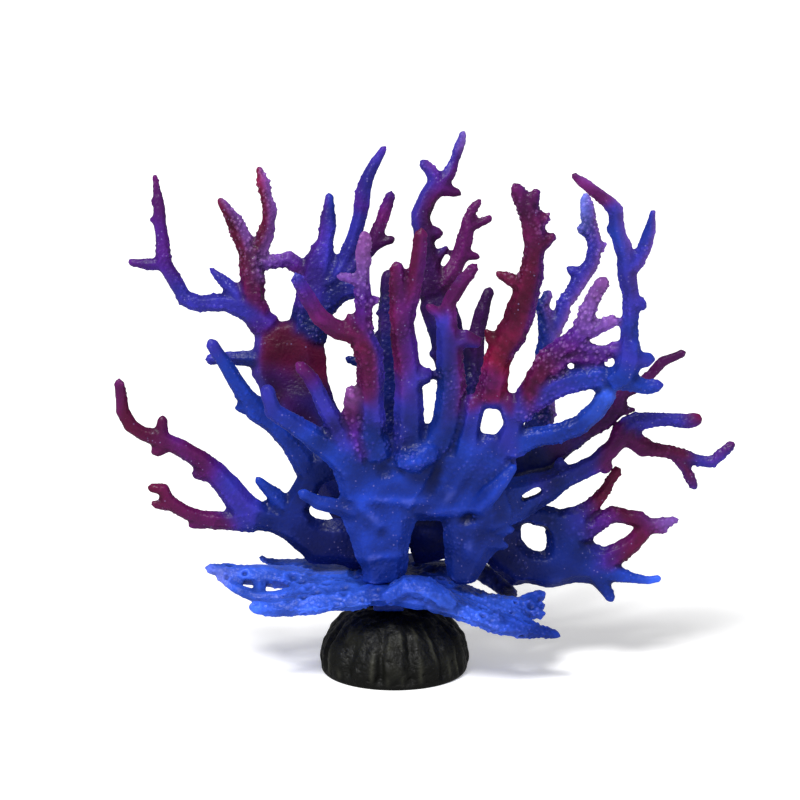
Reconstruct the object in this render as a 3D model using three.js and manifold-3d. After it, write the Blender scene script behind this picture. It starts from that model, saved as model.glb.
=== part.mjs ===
// A moulded soft-plastic sea fan: six branching sheets that stand on a lying skirt,
// plugged by a short peg into a ribbed, dome-shaped base. Millimetres, +Z up, the
// viewer's side is -Y. The origin is the centre of the base's flat underside.
import * as THREE from 'three';
import { mergeVertices } from 'three/addons/utils/BufferGeometryUtils.js';
import Module from 'manifold-3d';

const wasm = await Module();
wasm.setup();

// ---- driving dimensions ----------------------------------------------------------

const BASE_RADIUS = 19.5;
const BASE_FOOT_RADIUS = 18.6;
const BASE_HEIGHT = 17;
const BASE_TOP_RADIUS = 6;
const BASE_LOBES = 12;
const LOBE_DEPTH = 0.9;
const STEPS_PER_LOBE = 2;

const SHOULDER_DROP = 1.2;

const PEG_WIDTH = 8;
const PEG_DEPTH = 9;
const PEG_HEIGHT = 4.4;
const PEG_STEP_WIDTH = 6;
const PEG_STEP_DEPTH = 8;
const PEG_X = -1.4;
const PEG_Y = -2.5;

const GAP = 0.3;
const CLEARANCE = 0.45;
const SHEET_THICKNESS = 4.8;
const FLATNESS = 0.8;
const CORNER_RATIO = 1.02;
const TIP_LENGTH = 0.7;
const TIP_RADIUS = 0.72;
const ROOT_LENGTH = 0.5;
const BLUNT_TIP = 1.75;
const THIN_STRAND = 3;
const SIDES_WIDE = 6;
const SIDES_THIN = 5;
const SMALLEST_DETAIL = 0.3;
const SMALLEST_EDGE = 0.05;

// ---- colours ---------------------------------------------------------------------

const BLACK = 0x1c1d1a;
const DEEP_BLUE = 0x22399c;
const BRIGHT_BLUE = 0x2f56d4;
const NAVY = 0x1a2272;
const MAROON = 0x6a2348;
const CRIMSON = 0x7a1c44;
const PURPLE = 0x5b3391;
const PLUM = 0x4a1f5e;

function plastic(colour) {
  return new THREE.MeshStandardMaterial({ color: colour, roughness: 0.45, metalness: 0 });
}

function stone(colour) {
  return new THREE.MeshStandardMaterial({ color: colour, roughness: 0.85, metalness: 0 });
}

// ---- solids ----------------------------------------------------------------------

// A closed three.js geometry as a manifold solid, without its collapsed triangles.
function toSolid(geometry) {
  const bare = geometry.clone();
  bare.deleteAttribute('normal');
  bare.deleteAttribute('uv');
  const merged = mergeVertices(bare, 1e-4);
  const index = merged.index.array;
  const triangles = [];
  for (let i = 0; i < index.length; i += 3) {
    const [a, b, c] = index.slice(i, i + 3);
    if (a !== b && b !== c && c !== a) triangles.push(a, b, c);
  }
  return new wasm.Manifold(new wasm.Mesh({
    numProp: 3,
    vertProperties: new Float32Array(merged.attributes.position.array),
    triVerts: new Uint32Array(triangles),
  }));
}

function toGeometry(solid) {
  const mesh = solid.getMesh();
  const geometry = new THREE.BufferGeometry();
  geometry.setAttribute('position', new THREE.BufferAttribute(mesh.vertProperties, 3));
  geometry.setIndex(new THREE.BufferAttribute(mesh.triVerts, 1));
  geometry.computeVertexNormals();
  return geometry;
}

function largestBody(solid) {
  const bodies = solid.decompose();
  return bodies.reduce((best, body) => (body.volume() > best.volume() ? body : best));
}

// A strand is a rounded bar along a smooth curve. Each row of its skeleton is
// [across, up, radius, behind]: three places in the sheet's own frame and the half
// width there. A strand is a little flatter than wide, and never thicker than the sheet.
// `grow` swells it all round, which makes the clearance for its neighbours.
function strandGeometry(rows, grow) {
  const places = rows.map(([across, up, , behind = 0]) => new THREE.Vector3(across, behind, up));
  const radii = rows.map(([, , radius]) => new THREE.Vector3(radius, 0, 0));
  const path = new THREE.CatmullRomCurve3(places, false, 'centripetal');
  const widths = new THREE.CatmullRomCurve3(radii, false, 'catmullrom');
  const last = rows.length - 1;
  const outline = [new THREE.Vector2(0, -ROOT_LENGTH)];
  for (let station = 0; station <= last; station += 1) {
    outline.push(new THREE.Vector2(1, station));
  }
  if (rows[last][2] > BLUNT_TIP) outline.push(new THREE.Vector2(TIP_RADIUS, last + TIP_LENGTH));
  outline.push(new THREE.Vector2(0, last + 1));
  const widest = Math.max(...rows.map((row) => row[2]));
  const sides = widest > THIN_STRAND ? SIDES_WIDE : SIDES_THIN;
  const geometry = new THREE.LatheGeometry(outline, sides, Math.PI / sides);

  const corner = CORNER_RATIO / Math.cos(Math.PI / sides) ** 0.5;
  const position = geometry.attributes.position;
  const point = new THREE.Vector3();
  const outward = new THREE.Vector3(0, 1, 0);
  for (let i = 0; i < position.count; i += 1) {
    point.fromBufferAttribute(position, i);
    const along = THREE.MathUtils.clamp(point.y, 0, last);
    const beyond = point.y - along;
    const centre = path.getPoint(along / last);
    const forward = path.getTangent(along / last);
    const sideways = new THREE.Vector3().crossVectors(forward, outward).normalize();
    const across = new THREE.Vector3().crossVectors(sideways, forward).normalize();
    const radius = widths.getPoint(along / last).x;
    const halfWidth = radius * corner + grow;
    const halfDepth = Math.min(radius * FLATNESS, SHEET_THICKNESS / 2) * corner + grow;
    const lead = beyond * (Math.min(radius, SHEET_THICKNESS / 2 + radius / 2) + grow);
    centre.addScaledVector(forward, lead);
    centre.addScaledVector(sideways, point.x * halfWidth);
    centre.addScaledVector(across, point.z * halfDepth);
    position.setXYZ(i, centre.x, centre.y, centre.z);
  }
  return geometry;
}

function strandsSolid(strands, grow) {
  const solids = strands.map((rows) => toSolid(strandGeometry(rows, grow)));
  return solids.reduce((joined, solid) => joined.add(solid));
}

// ---- base and peg ----------------------------------------------------------------

function baseGeometry() {
  const outline = [
    [0, 0], [BASE_FOOT_RADIUS, 0], [BASE_RADIUS - 0.2, 1.4], [BASE_RADIUS, 3.6],
    [BASE_RADIUS - 0.8, 7], [BASE_RADIUS - 2.4, 10.4], [BASE_RADIUS - 5.4, 13.8],
    [BASE_RADIUS - 9.4, BASE_HEIGHT - SHOULDER_DROP], [BASE_TOP_RADIUS, BASE_HEIGHT], [0, BASE_HEIGHT],
  ].map(([radius, height]) => new THREE.Vector2(radius, height));
  const geometry = new THREE.LatheGeometry(outline, BASE_LOBES * STEPS_PER_LOBE);
  geometry.rotateX(Math.PI / 2);
  const position = geometry.attributes.position;
  for (let i = 0; i < position.count; i += 1) {
    const x = position.getX(i);
    const y = position.getY(i);
    const z = position.getZ(i);
    const radius = Math.hypot(x, y);
    if (radius > BASE_TOP_RADIUS + 0.1) {
      const crease = 1 - Math.abs(Math.cos((Math.atan2(y, x) * BASE_LOBES) / 2));
      const scale = (radius - LOBE_DEPTH * crease) / radius;
      position.setXYZ(i, x * scale, y * scale, z);
    }
  }
  return geometry;
}

// A stepped block: the wide step stands on the base, the narrow one reaches the skirt.
function pegSolid() {
  const lower = new THREE.BoxGeometry(PEG_WIDTH, PEG_DEPTH, PEG_HEIGHT / 2);
  lower.translate(0, 0, PEG_HEIGHT / 4);
  const upper = new THREE.BoxGeometry(PEG_STEP_WIDTH, PEG_STEP_DEPTH, PEG_HEIGHT);
  upper.translate(0, 0, PEG_HEIGHT / 2);
  const peg = toSolid(lower).add(toSolid(upper));
  return peg.translate([PEG_X, PEG_Y, BASE_HEIGHT + GAP]);
}

// ---- sheets ----------------------------------------------------------------------

// Each sheet is a flat frame: rows run across it, up it and behind it. `yaw` turns it
// about the upright axis and `lean` tips its top back.
function sheet(yaw, lean, x, y, z) {
  const group = new THREE.Group();
  group.position.set(x, y, z);
  const tip = THREE.MathUtils.degToRad(-lean);
  group.rotation.set(tip, 0, THREE.MathUtils.degToRad(yaw), 'ZYX');
  group.updateMatrixWorld(true);
  return group;
}

const skirt = sheet(0, 90, 0, 0, 26);
const leftLow = sheet(3, -3, 0, 0, 24);
const rightLow = sheet(-3, 0, 0, 2, 24);
const frontLeft = sheet(5, -8, 0, -11, 24);
const frontRight = sheet(-5, -8, 0, -9, 24);
const backLeft = sheet(-4, 8, 0, 9, 26);
const backRight = sheet(4, 8, 0, 10.5, 26.1);

// Skirt: it lies down, so its rows are [right, back, radius, drop].
const skirtPieces = [
  {
    name: 'skirt_centre',
    colour: BRIGHT_BLUE,
    strands: [
      [[-9, 0, 9, 1.6], [0, -1, 12, 1.4], [9, -1, 9, 2.4]],
      [[-6, -10, 7, 2.4], [2, -12, 7, 2], [10, -12, 7, 2.8]],
      [[-6, 8, 6, 1], [4, 9, 7, 1.2], [11, 7, 6, 1.8]],
      [[-2, -17, 2.6, 2.4], [3, -16.5, 4, -1.2], [8, -16.5, 4.4, -0.4], [13, -17.5, 4, 2.4]],
    ],
  },
  {
    name: 'skirt_left_lobe',
    colour: BRIGHT_BLUE,
    strands: [
      [[-12, 4, 6, 1.6], [-18, 6, 5, 1.3], [-25, 7.5, 3.5, 1.6], [-31, 10.5, 1.9, 1], [-35, 12, 1.1, -0.3]],
      [[-12, 0, 8, 1.6], [-20, 0, 7, 1.7], [-28, -0.4, 4.6, 1.1], [-35, -1, 3.4, 0.5],
        [-40, -1.5, 3, 0.3], [-44, -1.2, 2.6, -0.6], [-47.4, -0.8, 1.4, -1.2]],
      [[-24, -8, 3.4, 3.2], [-29.5, -8.8, 2, 4.3], [-35.5, -8.4, 1.9, 4.1], [-40.5, -5.8, 1.9, 3],
        [-45, -2.6, 1.3, 0.6]],
      [[-34.5, -1.5, 1.8, 1.2], [-34.5, -8, 1.5, 3.8]],
      [[-10, -7, 8, 2.4], [-19, -8, 7, 2.9], [-24.6, -8.6, 4, 3.6]],
      [[-8, -11, 8, 3], [-15, -12.5, 7.2, 3.6], [-22, -14, 5, 4.3], [-29, -15.4, 3, 4.6],
        [-35.3, -16, 1.5, 4.5]],
    ],
  },
  {
    name: 'skirt_right_lobe',
    colour: BRIGHT_BLUE,
    strands: [
      [[11, -13, 7, 3.4], [18, -15.5, 5.4, 5.6], [25, -16.6, 4, 8.2], [32, -16, 2.9, 10.3],
        [38, -14.8, 2, 11.7], [41.6, -14.4, 1.2, 12.6]],
      [[10, -5, 8, 2.8], [19, -7, 6, 5.2], [27, -6.4, 4.6, 7.2], [33, -4.8, 3.4, 7.9]],
      [[32, -4, 2.4, 7.6], [35.6, -1.4, 1.9, 6.8], [38, 0, 1.4, 6.2]],
      [[33, -4.6, 2.2, 7.9], [37.6, -4.2, 1.2, 8]],
      [[32, -6.4, 2.4, 8], [35, -6.8, 1.8, 8.6], [37.6, -7, 1.2, 9]],
      [[30.5, -7.4, 2.2, 8.2], [33, -11, 2, 9.8], [35.4, -14, 1.7, 11.4]],
    ],
  },
  {
    name: 'skirt_back_flap',
    colour: NAVY,
    strands: [
      [[10, 5, 6, 1.6], [17, 10, 4.6, 1.8], [23, 13, 2.6, 3.6], [27.4, 11.8, 2.2, 6],
        [30, 8, 2, 8.2], [29.6, 4, 1.8, 9], [28.6, 0, 1.8, 8.6]],
    ],
  },
];

const leftLowPieces = [
  {
    name: 'left_trunk',
    colour: DEEP_BLUE,
    strands: [
      [[-3, 8, 6], [-12, 10, 6.2], [-19.5, 10.6, 5.8], [-27, 15.6, 3.9], [-34, 17.2, 3.6]],
      [[-23.4, 13, 4.6], [-26, 19.5, 3.9], [-21.4, 27.4, 3]],
      [[-21.4, 28, 3], [-18, 31, 4.4], [-10, 32, 5]],
    ],
  },
  {
    name: 'left_long_arm',
    colour: MAROON,
    strands: [
      [[-35, 17.6, 3.8], [-38.8, 20.4, 3.6], [-41.6, 24.4, 3.3], [-45.2, 29.2, 2.9], [-49.6, 33, 2.4],
        [-54.5, 36.3, 2.2], [-59.5, 38.8, 2.1], [-63.5, 39.9, 1.9], [-66.9, 42.2, 1.8], [-68.8, 46, 1.6],
        [-69.3, 50, 1.5], [-69.4, 53.6, 1.3]],
      [[-59, 39.5, 1.7], [-58.8, 43.8, 1.2]],
      [[-57.4, 37.4, 1.9], [-60.9, 35.2, 1.5]],
      [[-46, 29.5, 2.6], [-49.8, 29.4, 1.9]],
    ],
  },
  {
    name: 'left_lower_arm',
    colour: MAROON,
    strands: [
      [[-36, 16.8, 3.4], [-42.5, 16.4, 2.5], [-48.5, 17, 2.2], [-53.5, 19, 1.8], [-57.8, 22, 1.9],
        [-59, 25.2, 1.7], [-62.3, 25.6, 1]],
      [[-56.8, 21, 1.8], [-61.4, 21.2, 1.1]],
      [[-49, 16.2, 2], [-52.2, 15.4, 1.1]],
    ],
  },
  {
    name: 'left_upper_bough',
    colour: BRIGHT_BLUE,
    strands: [
      [[-20.8, 27.5, 3.2], [-23, 32, 3], [-26.4, 37.2, 2.5], [-30.8, 42, 2.4], [-35.2, 46, 2.7],
        [-37.7, 49.6, 2.4], [-40.4, 54, 2.1], [-43.3, 58.6, 1.8], [-46.2, 63.6, 1.5]],
      [[-37, 47, 2.2], [-39.6, 46.6, 1.4]],
      [[-38, 50, 2], [-39.8, 49.6, 1.3]],
    ],
  },
  {
    name: 'left_stub',
    colour: BRIGHT_BLUE,
    strands: [[[-27.5, 19.5, 3], [-31.6, 24.2, 1.9], [-35, 27.6, 1.1]]],
  },
];

const rightLowPieces = [
  {
    name: 'right_trunk',
    colour: DEEP_BLUE,
    strands: [
      [[5, 10, 6], [14, 10.6, 5.4], [22, 11.6, 5.2], [27.4, 8.6, 5.4], [33, 3.2, 5.3], [39.5, 2.8, 4.7],
        [46, 5, 5.8], [51, 4.8, 5.4]],
      [[25, 13.6, 4.6], [29.6, 12, 3.6]],
      [[22, 13, 4.6], [28.5, 16.6, 3.6], [34.6, 17.6, 2.6], [40.6, 16.6, 2.8], [43.4, 12.5, 4.6],
        [44.4, 8, 5.8]],
      [[42, 14, 3.8], [46, 15.6, 4]],
    ],
  },
  {
    name: 'right_curved_twig',
    colour: MAROON,
    strands: [[[46, 17, 2.6], [49, 18.6, 1.9], [51.6, 20.8, 1.7], [54.5, 25, 1.6], [57.2, 29.2, 1.3]]],
  },
  {
    name: 'right_looped_arm',
    colour: MAROON,
    strands: [
      [[46, 13, 3.5], [50, 13.2, 2.5], [53, 15.6, 2.1], [56.4, 17.8, 2.3], [60, 17, 1.9], [63, 16.6, 2.1],
        [65.4, 14.8, 2], [68.8, 15.3, 1.5], [72.6, 16.4, 0.9]],
      [[49, 6, 4.4], [54.6, 5.6, 3.3], [58, 7.4, 2.6], [61.4, 10, 2.3], [64.6, 13.4, 2.2]],
      [[66, 14.2, 1.7], [69.6, 13.6, 0.9]],
    ],
  },
  {
    name: 'right_low_prongs',
    colour: BRIGHT_BLUE,
    strands: [
      [[53, 3, 3.2], [58.4, 1.4, 2], [62, 0.4, 1.4], [65.5, -0.1, 1.1], [68.4, 0.7, 1]],
      [[52, 2.4, 3.2], [54.2, -1.4, 1.9], [55.3, -3.6, 1.4], [56, -5, 1.2]],
    ],
  },
  {
    name: 'right_upper_bough',
    colour: DEEP_BLUE,
    strands: [
      [[21.7, 21.8, 6.4, -12], [29.6, 23.2, 5.8, -9.5], [34.6, 24.7, 4.8, -7.5], [39.8, 26.5, 3.7, -5.5],
        [43.8, 28.5, 3, -4], [47, 29.5, 2.4, -3], [51.4, 31.5, 2.3, -2], [55.8, 35.5, 2.1, -1],
        [59, 39.8, 3.2]],
      [[53.4, 32, 2, -1.4], [54.8, 29.6, 1.7, -0.6]],
      [[42.4, 28, 2.2, -4], [42.6, 32.4, 1.5, -3.6]],
    ],
    cuts: [[[33.6, 24.3, 0.9, -8], [36.8, 25.6, 1.2, -6.6]]],
  },
  {
    name: 'right_upper_finger',
    colour: PURPLE,
    strands: [[[59.4, 40.6, 2.9], [62, 42.4, 2.4], [66, 42.6, 1.9], [70.5, 42.8, 1.8], [74.4, 42.4, 1.9],
      [76.9, 42.9, 1.8]]],
  },
  {
    name: 'right_forked_arm',
    colour: MAROON,
    strands: [
      [[59, 38.6, 2.8], [62.5, 36.6, 2.3], [66, 35, 1.8], [70, 34.4, 1.7], [74, 33.2, 1.7],
        [78, 32.2, 1.6], [81.4, 31.9, 1.5], [83.7, 34, 1.3], [86.2, 36.5, 1.3]],
      [[62, 36, 2], [64, 34, 1.5]],
      [[72.6, 33, 1.6], [74.9, 29.6, 1.3], [76.8, 25.2, 1.2]],
    ],
  },
  {
    name: 'right_hidden_bough',
    colour: PLUM,
    strands: [
      [[17, 20, 5], [24, 27, 5], [31, 31.5, 4.8], [38, 33, 4.8], [44.6, 36.4, 2.6], [49.6, 39.6, 1.9],
        [54.6, 43.2, 2.4], [57, 46, 2.4], [57.4, 49.4, 2.1], [62.4, 51.8, 1.5], [65, 54.2, 1.4],
        [68.4, 58, 1.4], [73.3, 60, 1.2]],
      [[56.4, 44.6, 2], [61, 44.6, 1.3]],
    ],
  },
];

const frontLeftPieces = [
  {
    name: 'front_left_trunk',
    colour: DEEP_BLUE,
    strands: [
      [[-2.7, 3.4, 5.4], [-3.2, 12, 6.6], [-4, 21, 9], [-4, 31, 9]],
      [[0, 26, 6], [4.4, 31.5, 5.2]],
      [[-9, 27, 5], [-10.5, 34, 5]],
    ],
  },
  {
    name: 'front_left_arm',
    colour: PURPLE,
    strands: [[[-9, 33.6, 4.6], [-15.5, 38.8, 3.5], [-21.2, 43.3, 2.7], [-26.4, 46.8, 2.3],
      [-30.8, 50, 2.1], [-32, 55.4, 1.8]]],
  },
  {
    name: 'front_left_finger',
    colour: MAROON,
    strands: [[[-11, 38, 3.2], [-14.6, 44.2, 2.6], [-17.2, 49.6, 2.2], [-19.9, 55.8, 1.9],
      [-22, 59.5, 1.7], [-24.1, 61.8, 1.4]]],
  },
  {
    name: 'front_left_stub',
    colour: PURPLE,
    strands: [[[-9, 37.4, 3], [-10.3, 43, 2.7], [-10.6, 49.7, 2.4], [-10.9, 54.2, 2.1]]],
  },
  {
    name: 'front_left_low_finger',
    colour: DEEP_BLUE,
    strands: [[[-10, 22.5, 3], [-13.7, 23.7, 2.2], [-19, 25.2, 1.8], [-23.4, 27.6, 1.6]]],
  },
  {
    name: 'front_left_fork_stem',
    colour: MAROON,
    strands: [[[-4.6, 37, 4], [-6.1, 43, 3.7], [-6.5, 50, 3.3], [-6.5, 58.9, 3.2], [-7, 64.6, 3.3],
      [-8.8, 69.4, 3.1]]],
  },
  {
    name: 'front_left_fork_left_arm',
    colour: MAROON,
    strands: [
      [[-9.5, 70, 2.8], [-14.5, 71, 2.4], [-19, 74.2, 2.1], [-22.2, 79.5, 1.9], [-24.7, 84.8, 1.6]],
      [[-11, 71, 1.8], [-11.9, 74.6, 1.1]],
    ],
  },
  {
    name: 'front_left_fork_right_arm',
    colour: MAROON,
    strands: [
      [[-8.6, 70, 2.7], [-8.5, 74.2, 2.2], [-8.8, 80, 2], [-8.5, 86, 1.8], [-8.3, 92, 1.9],
        [-8.3, 95.2, 1.5]],
      [[-9, 83.6, 1.6], [-14.2, 84.9, 1]],
      [[-8.2, 78.2, 1.6], [-5.6, 78.6, 1]],
    ],
  },
  {
    name: 'front_centre_twin_finger',
    colour: PLUM,
    strands: [
      [[3.2, 37, 4.2], [3.2, 48, 3.6], [2.9, 58.8, 3.2], [1.7, 67.8, 3], [0.4, 76.5, 2.4], [0, 82, 1.9],
        [-0.4, 87.4, 1.5]],
      [[1.5, 73, 2.5], [3.5, 81, 2], [4.9, 88, 1.9], [5.5, 95.6, 1.7]],
      [[3.6, 58.4, 2.6], [6.6, 58.6, 2.5]],
    ],
  },
  {
    name: 'front_centre_bough',
    colour: DEEP_BLUE,
    strands: [
      [[5.4, 33, 5], [9.8, 39.3, 4.2], [12.8, 46, 3.8], [13.6, 55, 3.4], [13.2, 64.3, 3.2],
        [12.4, 70.4, 2.7]],
      [[12.2, 71, 2.3], [10, 75, 1.6], [7.6, 76.6, 1]],
      [[12.4, 71, 2.4], [12.6, 77.6, 1.9], [15.4, 82.6, 1.8], [18.7, 86.6, 1.4]],
      [[13.4, 67, 2.8], [17, 68.3, 2.3], [19.3, 67.4, 1.8]],
      [[0.8, 37.6, 2.6, -2.4], [4.6, 37.2, 3.4, -2.8], [8.6, 39, 3, -1.6]],
    ],
  },
];

const frontRightPieces = [
  {
    name: 'front_right_trunk',
    colour: DEEP_BLUE,
    strands: [
      [[17, 3.6, 3.6], [18, 8.6, 5.4], [20, 14, 7], [21, 21, 8.4], [20.8, 31, 7.4], [25, 38, 6.2]],
      [[3, 26.5, 6], [10, 26, 6.4], [18, 26, 7]],
      [[3, 33, 5], [12, 34, 5.5], [20, 34, 6]],
      [[18.6, 35, 5], [19.4, 44, 2.8], [21, 51, 2.8]],
      [[28.6, 38.6, 4.6], [30.2, 46, 2.5], [29, 52, 2.4]],
      [[21.5, 52, 2.2], [28.4, 52.4, 2.2]],
      [[26, 17, 2.2], [30, 17.4, 0.9]],
      [[24.4, 13, 2.2], [28.4, 12.8, 0.9]],
    ],
  },
  {
    name: 'front_right_short_branch',
    colour: BRIGHT_BLUE,
    strands: [[[20.6, 22, 2.4, -1.2], [25, 28.6, 2.3, -2.9], [28.4, 32.6, 1.7, -3], [30.6, 35.4, 1.1, -2.4]]],
  },
  {
    name: 'front_right_crimson_bough',
    colour: CRIMSON,
    strands: [
      [[24.8, 52.4, 3.7], [25.4, 56, 3.5], [26.4, 63, 3.1], [28.8, 68, 3.7], [31.4, 73, 3.6],
        [32.6, 78, 3.3], [34.1, 83.3, 3.1], [35.3, 89.3, 2.4], [35.8, 94.4, 2.7], [34.7, 99.6, 2.8],
        [33.4, 103, 2.5]],
      [[32.8, 103.4, 2], [31, 107.4, 1.6]],
      [[34.3, 103, 1.9], [35.8, 106, 1.4]],
      [[35.6, 98.4, 2.2], [38.4, 100.4, 1.1]],
      [[36.2, 92.4, 2.4], [39.8, 95.2, 1.2]],
      [[27.6, 66.8, 2.4], [25, 68.7, 1.7], [23.8, 70.3, 1.1]],
      [[33, 82.4, 2.2], [29, 84.2, 1.4], [26.7, 85.3, 0.8]],
    ],
  },
  {
    name: 'front_right_pimpled_bough',
    colour: MAROON,
    strands: [
      [[31.8, 48, 3.2], [33, 52, 2.9], [35.7, 56.7, 2.8], [37.4, 61.2, 2.6], [40.4, 65, 2.5],
        [44.4, 67.8, 2.5], [47.3, 70.8, 2.5], [48.6, 76, 1.9], [49.9, 80.2, 1.9], [52.3, 83.8, 1.6]],
      [[48, 70.8, 2.2], [52.4, 72.7, 1.7], [55.3, 73.9, 1.3]],
      [[45.4, 68, 2], [49.6, 66, 1.6], [53.4, 65.6, 1.5], [56, 66.6, 1.8]],
      [[40, 60.6, 2.6], [43.6, 63.6, 1.3], [48, 63.8, 1.7], [53, 64.6, 1.4]],
    ],
  },
  {
    name: 'front_right_lower_arc',
    colour: BRIGHT_BLUE,
    strands: [[[29, 40, 3.8], [36, 42.8, 2.7], [42, 43.7, 2.4], [47.2, 46.4, 2.4], [51.2, 50.4, 2.3],
      [53.6, 55, 2.4]]],
  },
  {
    name: 'front_right_middle_link',
    colour: PURPLE,
    strands: [[[33, 51, 2.8], [38, 54.4, 3.2], [42.4, 57, 3], [47, 58.4, 2.9], [52, 59, 3.1]]],
  },
  {
    name: 'front_right_knot',
    colour: BRIGHT_BLUE,
    strands: [
      [[54.6, 58.2, 2.9, -0.6], [57.8, 60.4, 3.3, -1], [59, 64.6, 3.3, -1], [58.7, 68.4, 2.5, -0.4]],
      [[57.6, 58.8, 2.8, -0.4], [62.6, 56.8, 2], [66.2, 57, 1.6]],
      [[59.6, 64, 2.6, -1], [64, 63.8, 1.7]],
    ],
  },
  {
    name: 'front_right_tall_bough',
    colour: DEEP_BLUE,
    strands: [
      [[58.8, 69.4, 2.3], [59, 76, 2], [59, 81, 2.1], [58, 85.6, 2.3], [57.5, 90.2, 2.2], [56, 94.8, 2.1],
        [55.2, 98.8, 1.9], [55, 102, 1.9], [52.9, 104.4, 1.7], [49.2, 107, 1.4], [44.7, 110.6, 0.9]],
      [[58.3, 87, 2.2], [60.5, 89.5, 2], [62.2, 92.2, 1.7], [63.3, 96.5, 1.4], [64, 101.7, 0.8]],
      [[59.4, 79.2, 1.9], [62.1, 77.7, 1.3]],
      [[56, 96, 1.8], [53.7, 97.4, 1.3]],
    ],
  },
];

const backLeftPieces = [
  {
    name: 'back_left_trunk',
    colour: NAVY,
    strands: [
      [[-5, 4, 6], [-9, 12, 6.6], [-14, 21, 7.2], [-21, 34, 7.6], [-25.6, 44, 7.8], [-28, 56.4, 8.6]],
      [[-29, 43, 5.6], [-32.4, 50, 5.4], [-32.8, 58, 4.2]],
    ],
  },
  {
    name: 'back_left_outer_bough',
    colour: MAROON,
    strands: [
      [[-33.5, 60.6, 3.9], [-38.6, 65.2, 2.8], [-44.6, 67.3, 2.3], [-51, 66.8, 2.2], [-55.4, 68.3, 2.1],
        [-58, 73, 1.9], [-60.6, 76.8, 2.1], [-61.4, 81.3, 1.9], [-61.7, 85.5, 1.8], [-62.1, 89.8, 1.6],
        [-62.5, 94.6, 1.3], [-63.3, 99.6, 0.8]],
      [[-60.6, 77, 1.7], [-64.8, 76.8, 1.4], [-69.4, 77.4, 1]],
      [[-62, 92.6, 1.2], [-64, 93.6, 0.7]],
      [[-61.6, 88, 1.3], [-64.3, 88.6, 0.7]],
      [[-39.4, 66.8, 2.3], [-44.4, 72.4, 1.6], [-48.4, 75.7, 0.9]],
    ],
  },
  {
    name: 'back_left_forked_bough',
    colour: MAROON,
    strands: [
      [[-35, 61.5, 3.6], [-37.2, 67.4, 2.9], [-37.8, 73.5, 3.1], [-38, 78.8, 3.1]],
      [[-38.4, 79, 2.6], [-39.9, 83.4, 2.4], [-42.2, 88, 2.2], [-46.1, 93.8, 1]],
      [[-37.4, 79, 2.4], [-35, 83, 2.2], [-33.5, 87, 2], [-33.4, 92.1, 1.8], [-34.8, 97.5, 1.6],
        [-36, 102, 0.9]],
    ],
  },
  {
    name: 'back_left_inner_bough',
    colour: DEEP_BLUE,
    strands: [
      [[-23.5, 58, 5.2], [-22.6, 63, 4.8], [-21.6, 68, 4.7], [-21.4, 72.4, 4.9], [-20.3, 78, 3.9],
        [-18.8, 83.4, 2.2], [-18, 88.6, 2.1], [-17.8, 95.2, 1]],
    ],
  },
  {
    name: 'back_left_bridge',
    colour: PLUM,
    strands: [[[-37.4, 77.9, 2], [-32, 78, 1.7], [-28.2, 78.7, 2.2], [-24.6, 76.6, 2]]],
  },
  {
    name: 'back_left_tall_bough',
    colour: DEEP_BLUE,
    strands: [
      [[-20.4, 71.6, 3], [-16.4, 73.4, 2.8], [-13.3, 78.8, 2.2], [-11.1, 85.1, 1.9], [-9.6, 90.4, 1.9],
        [-9, 96.2, 2], [-8, 100, 1.7], [-6.1, 103.7, 1.4], [-3.6, 107.6, 0.9]],
      [[-20, 66.8, 3.8], [-14.5, 70.8, 2.8], [-10, 72, 2.6]],
    ],
  },
  {
    name: 'back_left_dark_twig',
    colour: PLUM,
    strands: [
      [[-14.6, 73.6, 2.2], [-9.8, 78.6, 1.8], [-6.4, 82.6, 1.9], [-4.2, 88.3, 1.7], [-1.9, 95.6, 1.4]],
      [[-5.8, 82.8, 1.7], [-1.4, 84.2, 1.1]],
    ],
  },
  {
    name: 'back_left_short_twig',
    colour: PURPLE,
    strands: [[[-34, 52.8, 2.6], [-43, 52.7, 1.8], [-48.8, 52.3, 1.5]]],
  },
  {
    name: 'back_centre_column',
    colour: NAVY,
    strands: [
      [[-4, 7, 4], [-0.5, 17, 4.2], [0, 32, 4], [-1.5, 45, 3.2], [-2, 55, 3], [-2, 65, 2.6], [-2, 74.6, 2]],
      [[-2, 65, 1.8], [-4.8, 65, 1]],
      [[-2.4, 58.8, 1.9], [-5.4, 58.8, 1.1]],
      [[-2, 51, 1.8], [-8, 51.6, 1.6], [-12.6, 53, 1.1]],
    ],
  },
];

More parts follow.
